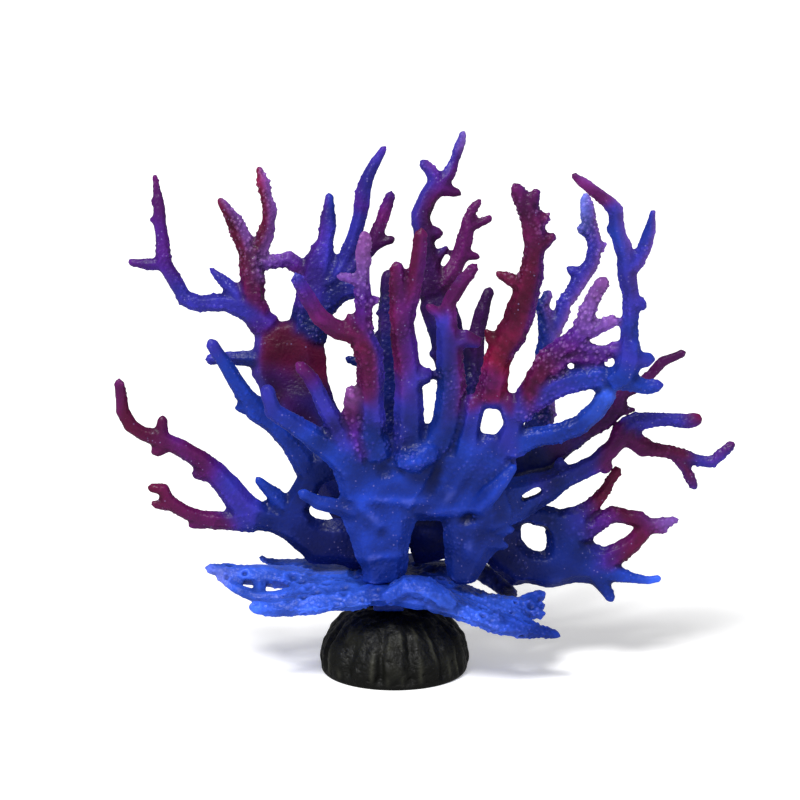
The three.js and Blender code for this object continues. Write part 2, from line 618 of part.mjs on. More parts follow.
const backRightPieces = [
  {
    name: 'back_right_trunk',
    colour: NAVY,
    strands: [
      [[12, 4, 5.4], [14.6, 18, 5.2], [16.6, 34, 5], [16.4, 50, 4.3], [14, 61, 4.2], [11.4, 67.6, 4.1]],
      [[13, 8, 5], [21, 14, 4.4], [28, 19, 4]],
      [[13.6, 54.5, 2.2], [10.8, 54, 1.1]],
    ],
  },
  {
    name: 'back_right_top_fork',
    colour: PLUM,
    strands: [
      [[10.8, 69.4, 3.9], [9.5, 76, 3.1], [8.3, 84, 2.5], [7.9, 90, 2.4], [9.8, 95, 2.5], [12.4, 98, 2.7]],
      [[12, 98.8, 2.2], [10.6, 101.3, 1.7], [8.5, 103.5, 1.3]],
      [[13, 98, 2.2], [15.4, 101, 1.7], [16.9, 104.5, 1.4], [18.2, 108.4, 1.3], [19, 111, 1]],
      [[13, 97.2, 2.2], [17.6, 95.5, 1.1]],
      [[9, 85.3, 2], [12.6, 85.3, 1.5]],
      [[10, 77.5, 2.2], [12.1, 79.3, 1.5], [14.5, 81.5, 0.8]],
    ],
  },
  {
    name: 'back_right_side_bough',
    colour: MAROON,
    strands: [
      [[11.6, 70, 3], [14, 73, 2.6], [16.5, 76.3, 2.3], [18.2, 80, 2.1], [19.3, 84, 2], [20.2, 88.3, 1.7],
        [21.2, 91.6, 1.2], [23.1, 93.6, 0.7]],
      [[20, 86.6, 1.7], [23.7, 88.1, 1.3], [25.9, 89, 0.9]],
      [[19.4, 79.6, 1.5], [22.3, 79, 1]],
    ],
  },
  {
    name: 'back_right_finger',
    colour: PLUM,
    strands: [[[20.4, 42, 3], [21.7, 54, 2.2], [22.2, 60, 2.1], [23.6, 64.8, 2], [25.5, 70.2, 1.3]]],
  },
  {
    name: 'back_right_wavy_bough',
    colour: DEEP_BLUE,
    strands: [
      [[29, 20, 4], [35.6, 28.4, 3.7], [39, 37, 3.4], [39.8, 46.8, 3], [40.2, 54.6, 2.7],
        [41.6, 59, 2.4], [43.9, 62.5, 2], [45.3, 66.4, 1.9], [47.9, 70.7, 2.1], [49.9, 74.1, 2],
        [52.3, 77.3, 1.9], [53.3, 81, 1.8], [52.7, 84.3, 1.8], [51.6, 87.5, 1.8], [51.5, 91, 1.8],
        [50.6, 94.3, 1.4]],
      [[40.6, 57.6, 2.4], [40.3, 62.6, 2.2], [39.2, 66, 1.9], [40.9, 69.4, 1.2]],
      [[49, 74, 1.8], [46.6, 75.4, 1.4]],
      [[52, 85, 1.8], [49.4, 86, 1.4]],
      [[53, 80.6, 1.8], [55.2, 81.6, 1.3]],
    ],
  },
];

// ---- the object ------------------------------------------------------------------

const seaFan = new THREE.Group();
const placed = [];

// Adds one piece of a sheet. It is cut back from every piece already placed, so that
// a gap is left all round where a bough leaves its trunk.
function addPiece(group, piece) {
  const toWorld = group.matrixWorld.toArray();
  let solid = strandsSolid(piece.strands, 0).simplify(SMALLEST_DETAIL);
  let grown = strandsSolid(piece.strands, CLEARANCE).simplify(SMALLEST_DETAIL / 2);
  for (const rows of piece.cuts ?? []) solid = solid.subtract(holeSolid(rows));
  solid = solid.transform(toWorld);
  grown = grown.transform(toWorld);
  for (const other of placed) solid = solid.subtract(other);
  solid = largestBody(solid.simplify(SMALLEST_EDGE));
  placed.push(grown);

  const geometry = toGeometry(solid);
  geometry.applyMatrix4(group.matrixWorld.clone().invert());
  const mesh = new THREE.Mesh(geometry, plastic(piece.colour));
  mesh.name = piece.name;
  group.add(mesh);
}

// A hole right through a sheet: a slot with round ends, along the rows.
function holeSolid(rows) {
  const [[u0, v0, r0, w0 = 0], [u1, v1, r1, w1 = 0]] = rows;
  const outline = new THREE.Shape();
  const turn = Math.atan2(v1 - v0, u1 - u0);
  outline.absarc(u1, v1, r1, turn - Math.PI / 2, turn + Math.PI / 2, false);
  outline.absarc(u0, v0, r0, turn + Math.PI / 2, turn + 1.5 * Math.PI, false);
  const slot = new THREE.ExtrudeGeometry(outline, {
    depth: SHEET_THICKNESS * 5,
    bevelEnabled: false,
    curveSegments: 4,
  });
  slot.translate(0, 0, -SHEET_THICKNESS * 2.5);
  slot.rotateX(Math.PI / 2);
  slot.translate(0, (w0 + w1) / 2, 0);
  return toSolid(slot);
}

const base = new THREE.Mesh(baseGeometry(), stone(BLACK));
base.name = 'base';
seaFan.add(base);

const peg = new THREE.Mesh(toGeometry(pegSolid()), plastic(BRIGHT_BLUE));
peg.name = 'mounting_peg';
seaFan.add(peg);

// The peg's clearance, so that the skirt rests above it.
const pegRoom = new THREE.BoxGeometry(PEG_WIDTH + 2 * GAP, PEG_DEPTH + 2 * GAP, PEG_HEIGHT);
pegRoom.translate(PEG_X, PEG_Y, BASE_HEIGHT + 2 * GAP + PEG_HEIGHT / 2);
placed.push(toSolid(pegRoom));

const layout = [
  [skirt, skirtPieces],
  [frontLeft, frontLeftPieces],
  [frontRight, frontRightPieces],
  [leftLow, leftLowPieces],
  [rightLow, rightLowPieces],
  [backLeft, backLeftPieces],
  [backRight, backRightPieces],
];
for (const [group, pieces] of layout) {
  seaFan.add(group);
  for (const piece of pieces) addPiece(group, piece);
}

export default seaFan;
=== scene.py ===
"""A moulded soft-plastic sea fan on its ribbed base.

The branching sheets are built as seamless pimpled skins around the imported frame's boughs.
"""

import math

import bpy
import numpy as np
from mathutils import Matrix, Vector
from mathutils.kdtree import KDTree


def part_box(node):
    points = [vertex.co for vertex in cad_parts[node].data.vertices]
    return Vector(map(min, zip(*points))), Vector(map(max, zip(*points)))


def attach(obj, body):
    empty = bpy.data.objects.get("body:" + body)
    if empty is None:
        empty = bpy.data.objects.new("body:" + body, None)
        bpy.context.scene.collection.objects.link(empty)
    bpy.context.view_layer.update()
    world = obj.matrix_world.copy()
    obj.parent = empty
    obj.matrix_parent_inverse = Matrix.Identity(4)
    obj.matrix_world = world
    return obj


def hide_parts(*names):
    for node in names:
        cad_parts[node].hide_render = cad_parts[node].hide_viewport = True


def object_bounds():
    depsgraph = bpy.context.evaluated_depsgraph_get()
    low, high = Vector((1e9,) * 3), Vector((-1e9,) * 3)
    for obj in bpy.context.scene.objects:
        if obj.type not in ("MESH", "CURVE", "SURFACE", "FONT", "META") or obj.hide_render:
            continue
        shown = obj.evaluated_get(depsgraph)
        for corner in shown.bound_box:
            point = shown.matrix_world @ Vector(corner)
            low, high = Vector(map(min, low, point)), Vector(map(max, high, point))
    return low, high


bl_info = {
    "name": "Moulded sea fan",
    "version": (1, 0, 0),
    "blender": (4, 5, 0),
    "location": "3D View > Sidebar > Sea fan",
    "description": "Builds a soft-plastic branching sea fan, its skirt, peg and ribbed base",
    "category": "Add Mesh",
}

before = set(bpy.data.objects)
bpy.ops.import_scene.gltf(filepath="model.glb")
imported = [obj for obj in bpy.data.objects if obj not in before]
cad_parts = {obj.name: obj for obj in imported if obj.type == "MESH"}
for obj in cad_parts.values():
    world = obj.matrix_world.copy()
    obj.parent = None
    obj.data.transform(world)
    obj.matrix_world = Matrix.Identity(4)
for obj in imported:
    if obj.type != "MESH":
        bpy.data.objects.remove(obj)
CAD_BOX = [list(corner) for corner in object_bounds()]
MM = 0.001

# ---- the mould: which boughs each sheet is made of ------------------------------------

# Each mould holds one or more pieces that flow into each other with no seam.
MOULDS = {
    "left": {"left_sheet": [
        "left_trunk", "left_long_arm", "left_lower_arm", "left_upper_bough", "left_stub"]},
    "right": {"right_sheet": [
        "right_trunk", "right_curved_twig", "right_looped_arm", "right_low_prongs",
        "right_hidden_bough"]},
    "front": {
        "front_left_sheet": [
            "front_left_trunk", "front_left_arm", "front_left_finger", "front_left_stub",
            "front_left_low_finger", "front_left_fork_stem",
            "front_left_fork_left_arm", "front_left_fork_right_arm",
            "front_centre_twin_finger", "front_centre_bough"],
        "front_right_sheet": [
            "front_right_trunk", "front_right_short_branch", "front_right_crimson_bough",
            "front_right_pimpled_bough", "front_right_lower_arc", "front_right_middle_link",
            "front_right_knot", "front_right_tall_bough",
            "right_upper_bough", "right_upper_finger", "right_forked_arm"],
    },
    "back_left": {"back_left_sheet": [
        "back_left_trunk", "back_left_outer_bough", "back_left_forked_bough", "back_left_inner_bough",
        "back_left_bridge", "back_left_tall_bough", "back_left_dark_twig", "back_left_short_twig",
        "back_centre_column"]},
    "back_right": {"back_right_sheet": [
        "back_right_trunk", "back_right_top_fork", "back_right_side_bough", "back_right_finger",
        "back_right_wavy_bough"]},
}
SKIRT = {"skirt_sheet": ["skirt_centre", "skirt_left_lobe", "skirt_right_lobe", "skirt_back_flap"]}

# ---- the skin's finish --------------------------------------------------------------------

GRAIN_LENGTH, GRAIN_HEIGHT = 1.3 * MM, 0.14 * MM  # fine unevenness between the pimples
SWELL_LENGTH = 7 * MM  # broad swellings of the trunks and the skirt
PATCH_LENGTH = 9 * MM  # patches with more and fewer pimples
CRATER_SPACING = 4.2 * MM
CRATER_RADIUS = (0.7, 1.7)  # smallest and largest, in millimetres
PAINTED_LIGHT_BULGE = 0.35 * MM  # how far a bulge stands out when its painted highlight is full; a hollow as deep gets the full painted shade
TINT_LENGTH, TINT_AMOUNT = 5 * MM, 0.22  # slow changes in the depth of the paint
FROST_AND_HIGHLIGHT_LENGTH, FROST_AND_HIGHLIGHT_AMOUNT = 4 * MM, 0.22  # a pale bloom on the bulges of the trunks and the skirt: partly pale paint, partly painted highlight
SPRAY_COVER = 0.85  # how fully paint sprayed from one side covers the paint under it
STRAY_LENGTH, STRAY_AMOUNT = 6 * MM, 0.09  # how unevenly one paint fades into the next

# Each bough's paint runs away from this point, where the sheets meet the peg.
FOOT = (0.0, 0.0, 0.022)

# ---- airbrushed paint -------------------------------------------------------------------

PAINTS = {
    "navy": (0.032, 0.075, 0.33),
    "deep": (0.042, 0.12, 0.41),
    "blue": (0.06, 0.165, 0.52),
    "bright": (0.17, 0.31, 0.74),
    "sky": (0.40, 0.44, 0.80),
    "violet": (0.155, 0.145, 0.53),
    "lilac": (0.40, 0.25, 0.56),
    "purple": (0.23, 0.075, 0.43),
    "plum": (0.18, 0.04, 0.25),
    "maroon": (0.30, 0.055, 0.30),
    "crimson": (0.29, 0.03, 0.165),
    "red": (0.40, 0.035, 0.17),
    "rose": (0.44, 0.24, 0.50),
}

# For each bough: its paints from root to tip as (place, paint), how pimpled it is, how pale
# its pimples are rubbed, and if it was sprayed from one side, that paint and direction.
BOUGHS = {
    "skirt_centre": ([(0, "deep"), (0.6, "blue"), (1, "bright")], 0.3, 0.2),
    "skirt_left_lobe": ([(0, "bright"), (0.8, "bright"), (1, "sky")], 0.4, 0.2),
    "skirt_right_lobe": ([(0, "blue"), (0.5, "bright"), (1, "blue")], 0.55, 0.15),
    "skirt_back_flap": ([(0, "deep"), (1, "navy")], 0.3, 0.2),
    "left_trunk": ([(0, "navy"), (0.5, "navy"), (1, "deep")], 0.2, 0.4),
    "left_long_arm": (
        [(0, "deep"), (0.15, "violet"), (0.35, "purple"), (0.5, "maroon"), (0.8, "crimson"),
         (1, "maroon")], 0.35, 0.15),
    "left_lower_arm": ([(0, "deep"), (0.2, "violet"), (0.4, "maroon"), (1, "crimson")], 0.35, 0.2),
    "left_upper_bough": ([(0, "deep"), (0.3, "blue"), (0.85, "blue"), (1, "violet")], 0.3, 0.2),
    "left_stub": ([(0, "deep"), (1, "blue")], 0.3, 0.2),
    "right_trunk": ([(0, "navy"), (0.4, "navy"), (0.85, "deep"), (1, "violet")], 0.3, 0.3),
    "right_curved_twig": ([(0, "violet"), (0.35, "crimson"), (1, "crimson")], 0.5, 0.2),
    "right_looped_arm": (
        [(0, "deep"), (0.25, "purple"), (0.5, "crimson"), (0.75, "maroon"), (1, "lilac")], 0.6, 0.3),
    "right_low_prongs": ([(0, "deep"), (0.4, "blue"), (1, "bright")], 0.3, 0.2),
    "right_hidden_bough": ([(0, "navy"), (0.4, "navy"), (0.6, "plum"), (1, "maroon")], 0.4, 0.3),
    "right_upper_bough": (
        [(0, "blue"), (0.4, "deep"), (0.65, "violet"), (0.82, "maroon"), (1, "maroon")], 0.35, 0.2),
    "right_upper_finger": ([(0, "violet"), (0.6, "violet"), (0.9, "maroon"), (1, "red")], 0.4, 0.2),
    "right_forked_arm": (
        [(0, "maroon"), (0.4, "crimson"), (0.65, "violet"), (1, "maroon")],
        0.45, 0.3, "violet", (0.1, 0, -1)),
    "front_left_trunk": ([(0, "blue"), (1, "blue")], 0.25, 0.4),
    "front_left_arm": ([(0, "blue"), (0.5, "blue"), (1, "violet")], 0.4, 0.4),
    "front_left_finger": (
        [(0, "blue"), (0.3, "violet"), (0.65, "violet"), (0.85, "purple"), (1, "maroon")], 0.4, 0.4),
    "front_left_stub": ([(0, "violet"), (0.3, "purple"), (0.7, "maroon"), (1, "rose")], 0.9, 0.6),
    "front_left_low_finger": ([(0, "deep"), (1, "blue")], 0.1, 0.2),
    "front_left_fork_stem": (
        [(0, "blue"), (0.25, "deep"), (0.42, "violet"), (0.52, "maroon"), (0.8, "crimson"), (1, "maroon")],
        0.5, 0.3, "violet", (1, 0.2, -0.1)),
    "front_left_fork_left_arm": (
        [(0, "crimson"), (0.5, "maroon"), (0.85, "purple"), (1, "violet")], 0.55, 0.5),
    "front_left_fork_right_arm": (
        [(0, "maroon"), (0.35, "purple"), (0.6, "lilac"), (1, "rose")], 1.0, 1.0),
    "front_centre_twin_finger": (
        [(0, "deep"), (0.3, "violet"), (0.55, "purple"), (0.9, "maroon"), (1, "crimson")],
        0.5, 0.4, "crimson", (-1, -0.4, 0)),
    "front_centre_bough": (
        [(0, "blue"), (0.5, "deep"), (0.72, "violet"), (0.85, "maroon"), (1, "maroon")],
        0.5, 0.5, "maroon", (1, -0.1, 0.2)),
    "front_right_trunk": (
        [(0, "deep"), (0.3, "deep"), (0.6, "blue"), (0.9, "violet"), (1, "maroon")], 0.3, 0.4),
    "front_right_short_branch": ([(0, "deep"), (1, "blue")], 0.1, 0.2),
    "front_right_crimson_bough": (
        [(0, "maroon"), (0.12, "red"), (0.35, "crimson"), (0.75, "crimson"), (1, "maroon")],
        0.7, 0.8, "purple", (1, 0.4, -0.3)),
    "front_right_pimpled_bough": (
        [(0, "violet"), (0.2, "crimson"), (0.4, "maroon"), (0.6, "purple"), (0.8, "lilac"), (1, "rose")],
        0.9, 1.0),
    "front_right_lower_arc": ([(0, "blue"), (0.6, "blue"), (1, "bright")], 0.4, 0.2),
    "front_right_middle_link": ([(0, "purple"), (0.3, "violet"), (1, "blue")], 0.5, 0.5),
    "front_right_knot": ([(0, "blue"), (0.4, "blue"), (0.8, "violet"), (1, "blue")], 0.4, 0.3),
    "front_right_tall_bough": (
        [(0, "blue"), (0.12, "violet"), (0.4, "violet"), (0.6, "blue"), (0.72, "violet"), (0.8, "maroon"),
         (1, "maroon")], 0.4, 0.4, "lilac", (1, 0.2, -0.1)),
    "back_left_trunk": (
        [(0, "navy"), (0.5, "navy"), (0.7, "plum"), (0.85, "crimson"), (1, "crimson")],
        0.1, 0.5, "violet", (-1, 0.15, 0)),
    "back_left_outer_bough": (
        [(0, "purple"), (0.15, "violet"), (0.4, "violet"), (0.55, "purple"), (1, "maroon")], 0.4, 0.4),
    "back_left_forked_bough": (
        [(0, "maroon"), (0.4, "crimson"), (0.7, "crimson"), (1, "red")],
        0.9, 0.8, "lilac", (1, -0.1, 0.2)),
    "back_left_inner_bough": (
        [(0, "navy"), (0.2, "navy"), (0.45, "violet"), (0.7, "violet"), (1, "blue")],
        0.5, 0.4, "purple", (-1, -0.3, -0.2)),
    "back_left_bridge": ([(0, "maroon"), (0.5, "purple"), (1, "lilac")], 0.9, 0.8),
    "back_left_tall_bough": (
        [(0, "navy"), (0.2, "violet"), (0.5, "violet"), (0.65, "purple"), (0.85, "violet"), (1, "purple")],
        0.4, 0.3),
    "back_left_dark_twig": ([(0, "deep"), (0.3, "plum"), (0.7, "maroon"), (1, "purple")], 0.4, 0.4),
    "back_left_short_twig": ([(0, "deep"), (1, "violet")], 0.3, 0.3),
    "back_centre_column": ([(0, "navy"), (0.7, "navy"), (1, "plum")], 0.4, 0.4),
    "back_right_trunk": ([(0, "navy"), (0.6, "navy"), (1, "plum")], 0.3, 0.4),
    "back_right_top_fork": (
        [(0, "plum"), (0.3, "plum"), (0.55, "maroon"), (0.8, "purple"), (0.92, "lilac"), (1, "sky")],
        0.5, 0.5, "violet", (-1, -0.2, 0.3)),
    "back_right_side_bough": ([(0, "maroon"), (1, "maroon")], 0.5, 0.4),
    "back_right_finger": ([(0, "navy"), (0.4, "plum"), (1, "plum")], 0.5, 0.4),
    "back_right_wavy_bough": (
        [(0, "navy"), (0.35, "navy"), (0.55, "deep"), (0.7, "violet"), (0.85, "violet"), (1, "sky")],
        0.8, 0.6, "lilac", (1, 0, -0.1)),
}

# Dents and ridges moulded in the front of the two front trunks, in millimetres:
# [x, z, half length, half width, tilt in degrees, height]. A dent's height is negative.
RELIEFS = [
    (18.6, 44.6, 2.9, 1.7, 25, -2.4),
    (18.4, 44.8, 4.8, 3.4, 25, 0.9),
    (-2.5, 57.2, 2.6, 2.2, 0, -1.2),
    (1.0, 49.5, 10.0, 1.6, -4, 0.9),
    (-6.0, 46.0, 4.5, 1.8, -50, 0.7),
    (-3.0, 41.0, 2.4, 1.8, 60, -0.8),
    (12.0, 46.6, 6.0, 1.4, 8, 0.8),
    (10.0, 54.0, 5.5, 2.0, 75, -0.9),
    (15.0, 52.5, 6.5, 1.7, 60, 0.8),
    (24.5, 51.0, 6.0, 1.5, 48, 0.7),
    (19.0, 37.0, 3.0, 1.8, 80, 0.7),
    (-3.0, 34.5, 5.0, 1.5, 5, 0.8),
    (26.0, 42.5, 3.0, 1.4, 10, 0.7),
    (5.5, 60.5, 5.0, 1.6, 10, 0.9),
]

# Boughs whose paint runs along a direction of their own instead of away from the foot.
RUNS = {"front_right_tall_bough": (-0.6, 0, 0.8)}


def linear(colour):
    """An sRGB colour as scene-linear values."""
    value = np.asarray(colour, float)
    return np.where(value <= 0.04045, value / 12.92, ((value + 0.055) / 1.055) ** 2.4)


def new_object(name, data):
    """An object in the scene that shows this mesh, light or camera."""
    made = bpy.data.objects.new(name, data)
    bpy.context.scene.collection.objects.link(made)
    return made


# ---- mesh work ----------------------------------------------------------------------------

def node_triangles(name):
    """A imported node's corner points and triangles."""
    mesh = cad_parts[name].data
    points = np.empty(len(mesh.vertices) * 3)
    mesh.vertices.foreach_get("co", points)
    mesh.calc_loop_triangles()
    triangles = np.empty(len(mesh.loop_triangles) * 3, int)
    mesh.loop_triangles.foreach_get("vertices", triangles)
    return points.reshape(-1, 3), triangles.reshape(-1, 3)


def mesh_of(points, faces):
    """A plain mesh of these points and faces."""
    mesh = bpy.data.meshes.new("work")
    mesh.from_pydata(np.asarray(points).tolist(), [], np.asarray(faces).tolist())
    return mesh


def joined_nodes(names):
    """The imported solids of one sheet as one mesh."""
    points, faces, count = [], [], 0
    for name in names:
        some, triangles = node_triangles(name)
        points.append(some)
        faces.append(triangles + count)
        count += len(some)
    return mesh_of(np.concatenate(points), np.concatenate(faces))


def remeshed(mesh, size):
    """The mesh's outer surface as an even net of quads of that size."""
    shell = new_object("remesh", mesh)
    voxels = shell.modifiers.new("voxels", "REMESH")
    voxels.mode = "VOXEL"
    voxels.voxel_size = size
    graph = bpy.context.evaluated_depsgraph_get()
    result = bpy.data.meshes.new_from_object(shell.evaluated_get(graph))
    bpy.data.objects.remove(shell)
    bpy.data.meshes.remove(mesh)
    return result


def get_points(mesh):
    """The mesh's points."""
    points = np.empty(len(mesh.vertices) * 3)
    mesh.vertices.foreach_get("co", points)
    return points.reshape(-1, 3)


def set_points(mesh, points):
    """Moves the mesh's points."""
    mesh.vertices.foreach_set("co", points.astype(np.float32).ravel())
    mesh.update()


def get_normals(mesh):
    """The mesh's point normals."""
    normals = np.empty(len(mesh.vertices) * 3, np.float32)
    mesh.vertex_normals.foreach_get("vector", normals)
    return normals.reshape(-1, 3).astype(float)


def get_quads(mesh):
    """The four point numbers of each face of a mesh of quads."""
    corners = np.empty(len(mesh.loops), int)
    mesh.loops.foreach_get("vertex_index", corners)
    return corners.reshape(-1, 4)


def get_edges(mesh):
    """The mesh's edges as pairs of point numbers."""
    edges = np.empty(len(mesh.edges) * 2, int)
    mesh.edges.foreach_get("vertices", edges)
    return edges.reshape(-1, 2)


class Net:
    """Each point's neighbours along the edges, to average values over a mesh."""

    def __init__(self, edges, count):
        self.a, self.b = edges[:, 0], edges[:, 1]
        self.count = count
        self.share = np.bincount(self.a, minlength=count) + np.bincount(self.b, minlength=count)
        self.share = np.maximum(self.share, 1)

    def mean(self, values):
        """Every point's mean over its neighbours."""
        columns = values.reshape(self.count, -1)
        out = np.empty_like(columns)
        for k in range(columns.shape[1]):
            column = columns[:, k]
            out[:, k] = np.bincount(self.a, column[self.b], self.count)
            out[:, k] += np.bincount(self.b, column[self.a], self.count)
        out /= self.share[:, None]
        return out.reshape(values.shape)

    def soften(self, values, rounds):
        """Values blended over the neighbours, again and again."""
        for _ in range(rounds):
            values = (values + self.mean(values)) / 2
        return values

    def fair(self, points, rounds):
        """Rounds off corners without shrinking the shape."""
        for _ in range(rounds):
            points = points + 0.5 * (self.mean(points) - points)
            points = points - 0.53 * (self.mean(points) - points)
        return points


def waves(points, length, seed, count=14):
    """Smooth noise between about -1 and 1, with features of that length in metres."""
    random = np.random.default_rng(seed)
    total = np.zeros(len(points))
    for _ in range(count):
        direction = random.normal(size=3)
        direction *= random.uniform(0.7, 1.5) * math.pi / (length * np.linalg.norm(direction))
        total += np.sin(points @ direction + random.uniform(0, 2 * math.pi))
    return total * math.sqrt(2 / count) / 1.6


def surface_samples(names, step, seed):
    """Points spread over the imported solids, and the number of the bough that each is on."""
    random = np.random.default_rng(seed)
    places, owners = [], []
    for k, name in enumerate(names):
        points, triangles = node_triangles(name)
        a, b, c = (points[triangles[:, i]] for i in range(3))
        areas = np.linalg.norm(np.cross(b - a, c - a), axis=1) / 2
        count = max(20, int(areas.sum() / step**2))
        chosen = random.choice(len(areas), count, p=areas / areas.sum())
        u, v = random.random((2, count))
        u, v = np.where(u + v > 1, 1 - u, u), np.where(u + v > 1, 1 - v, v)
        spot = a[chosen] + u[:, None] * (b - a)[chosen] + v[:, None] * (c - a)[chosen]
        places.append(spot)
        owners.append(np.full(count, k))
    return np.concatenate(places), np.concatenate(owners)


def nearest(points, places):
    """For every point, the number of the nearest place and its distance."""
    tree = KDTree(len(places))
    for k, place in enumerate(places):
        tree.insert(place, k)
    tree.balance()
    found = [tree.find(point)[1:] for point in points]
    numbers, distances = zip(*found)
    return np.array(numbers), np.array(distances)


def scatter(points, spacing, seed):
    """Picks some of the points, none nearer to another than about that spacing."""
    random = np.random.default_rng(seed)
    order = random.permutation(len(points))
    cells = np.floor(points[order] / spacing).astype(int)
    _, first = np.unique(cells, axis=0, return_index=True)
    chosen = order[np.sort(first)]
    tree = KDTree(len(chosen))
    for k, number in enumerate(chosen):
        tree.insert(points[number], k)
    tree.balance()
    dropped = set()
    for k, number in enumerate(chosen):
        if k in dropped:
            continue
        for _, other, _ in tree.find_range(points[number], spacing * 0.8):
            if other > k:
                dropped.add(other)
    return np.array([number for k, number in enumerate(chosen) if k not in dropped])


def smoothstep(low, high, value):
    """0 below low, 1 above high, and smooth between them."""
    t = np.clip((value - low) / (high - low), 0, 1)
    return t * t * (3 - 2 * t)


def bough_fields(names, points, normals):
    """Each point's paint, pimple strength, paleness and bough, from the nearest bough."""
    places, owners = surface_samples(names, 0.8 * MM, 5)
    owner = owners[nearest(points, places)[0]]
    paint = np.zeros((len(points), 3))
    pimpled, pale = np.zeros(len(points)), np.zeros(len(points))
    for k, name in enumerate(names):
        stops, rough, rubbed, *spray = BOUGHS[name]
        mine = owner == k
        if not mine.any():
            continue
        span = places[owners == k] - FOOT
        here = points[mine] - FOOT
        if name in RUNS:
            span, here = span @ RUNS[name], here @ RUNS[name]
        else:
            span, here = np.linalg.norm(span, axis=1), np.linalg.norm(here, axis=1)
        along = (here - span.min()) / (span.max() - span.min())
        along = along + STRAY_AMOUNT * waves(points[mine], STRAY_LENGTH, 31 + k)
        places_along = [stop[0] for stop in stops]
        colours = np.array([linear(PAINTS[stop[1]]) for stop in stops])
        mix = np.stack([np.interp(along, places_along, colours[:, c]) for c in range(3)], 1)
        if spray:
            toward = np.array(spray[1]) / np.linalg.norm(spray[1])
            cover = SPRAY_COVER * smoothstep(-0.1, 0.75, normals[mine] @ toward)
            cover = (cover * smoothstep(0.2, 0.4, along))[:, None]
            mix = mix * (1 - cover) + linear(PAINTS[spray[0]]) * cover
        paint[mine] = mix
        pimpled[mine] = rough
        pale[mine] = rubbed
    return paint, pimpled, pale, owner


def reliefs(points, normals):
    """The height of the dents and ridges at each point, in metres."""
    height = np.zeros(len(points))
    facing = smoothstep(0.4, 0.8, -normals[:, 1])
    for x, z, long, wide, tilt, rise in RELIEFS:
        turn = math.radians(tilt)
        across, up = points[:, 0] / MM - x, points[:, 2] / MM - z
        along = (across * math.cos(turn) + up * math.sin(turn)) / long
        aside = (up * math.cos(turn) - across * math.sin(turn)) / wide
        height += rise * MM * np.exp(-1.2 * (along**2 + aside**2))
    return height * facing


def write_value(mesh, name, values):
    """Stores one number per point on the mesh."""
    layer = mesh.attributes.new(name, "FLOAT", "POINT")
    layer.data.foreach_set("value", values.astype(np.float32))


def write_colour(mesh, name, colours):
    """Stores one colour per point on the mesh."""
    layer = mesh.attributes.new(name, "FLOAT_COLOR", "POINT")
    values = np.concatenate([colours, np.ones((len(colours), 1))], 1)
    layer.data.foreach_set("color", values.astype(np.float32).ravel())


def whole_shell(mesh):
    """Which points are on a large shell, and not on a small one that strays inside it or beside it."""
    edges, count = get_edges(mesh), len(mesh.vertices)
    label = np.arange(count)
    while True:
        low = np.minimum(label[edges[:, 0]], label[edges[:, 1]])
        new = label.copy()
        np.minimum.at(new, edges[:, 0], low)
        np.minimum.at(new, edges[:, 1], low)
        new = new[new]
        if (new == label).all():
            break
        label = new
    size = np.bincount(label, minlength=count)[label]
    return size > count / 100


def part_of(mesh, chosen, normals, name):
    """The chosen faces as a mesh of their own, which keeps the whole mould's normals and values."""
    used, numbers = np.unique(get_quads(mesh)[chosen], return_inverse=True)
    part = bpy.data.meshes.new(name)
    part.from_pydata(get_points(mesh)[used].tolist(), [], numbers.reshape(-1, 4).tolist())
    for layer in ("pimple", "pale"):
        values = np.empty(len(mesh.vertices), np.float32)
        mesh.attributes[layer].data.foreach_get("value", values)
        write_value(part, layer, values[used])
    colours = np.empty(len(mesh.vertices) * 4, np.float32)
    mesh.attributes["paint"].data.foreach_get("color", colours)
    write_colour(part, "paint", colours.reshape(-1, 4)[used, :3])
    part.shade_smooth()
    part.normals_split_custom_set_from_vertices(normals[used].tolist())
    return part


def craters(points, seed):
    """Round dimples with a raised rim, scattered over a surface: their height at each point."""
    seeds = scatter(points, CRATER_SPACING, seed)
    number, distance = nearest(points, points[seeds])
    random = np.random.default_rng(seed)
    radius = random.uniform(*CRATER_RADIUS, len(seeds))[number] * MM
    depth = random.uniform(0.1, 1.0, len(seeds))[number]
    share = distance / radius
    return depth * MM * (0.35 * np.exp(-6 * (share - 1.25) ** 2) - 0.75 * np.exp(-2.2 * share**2))


def pimples(points, settings, seed):
    """Round pimples of many sizes scattered over a surface: their height as a share of the tallest."""
    seeds = scatter(points, settings.pimple_spacing, seed)
    number, distance = nearest(points, points[seeds])
    random = np.random.default_rng(seed + 1)
    height = 0.2 + 0.8 * random.random(len(seeds)) ** 1.6
    radius = settings.pimple_radius * (0.8 + 0.4 * height)
    return np.clip(1 - (distance / radius[number]) ** 2, 0, 1) ** 1.5 * height[number]


def bare_skin(nodes, settings):
    """A closed, rounded skin over the solids: its mesh, net, points and soft normals."""
    size = settings.net * 1
    mesh = remeshed(joined_nodes(nodes), size)
    net = Net(get_edges(mesh), len(mesh.vertices))
    set_points(mesh, net.soften(get_points(mesh), 2))
    # Pushed out, small gaps between boughs close. Pulled back in, they stay closed.
    set_points(mesh, get_points(mesh) + get_normals(mesh) * settings.closing)
    mesh = remeshed(mesh, size)
    net = Net(get_edges(mesh), len(mesh.vertices))
    set_points(mesh, net.fair(get_points(mesh), settings.rounding))
    normals = net.soften(get_normals(mesh), 2)
    return mesh, net, get_points(mesh) - normals * settings.closing, normals


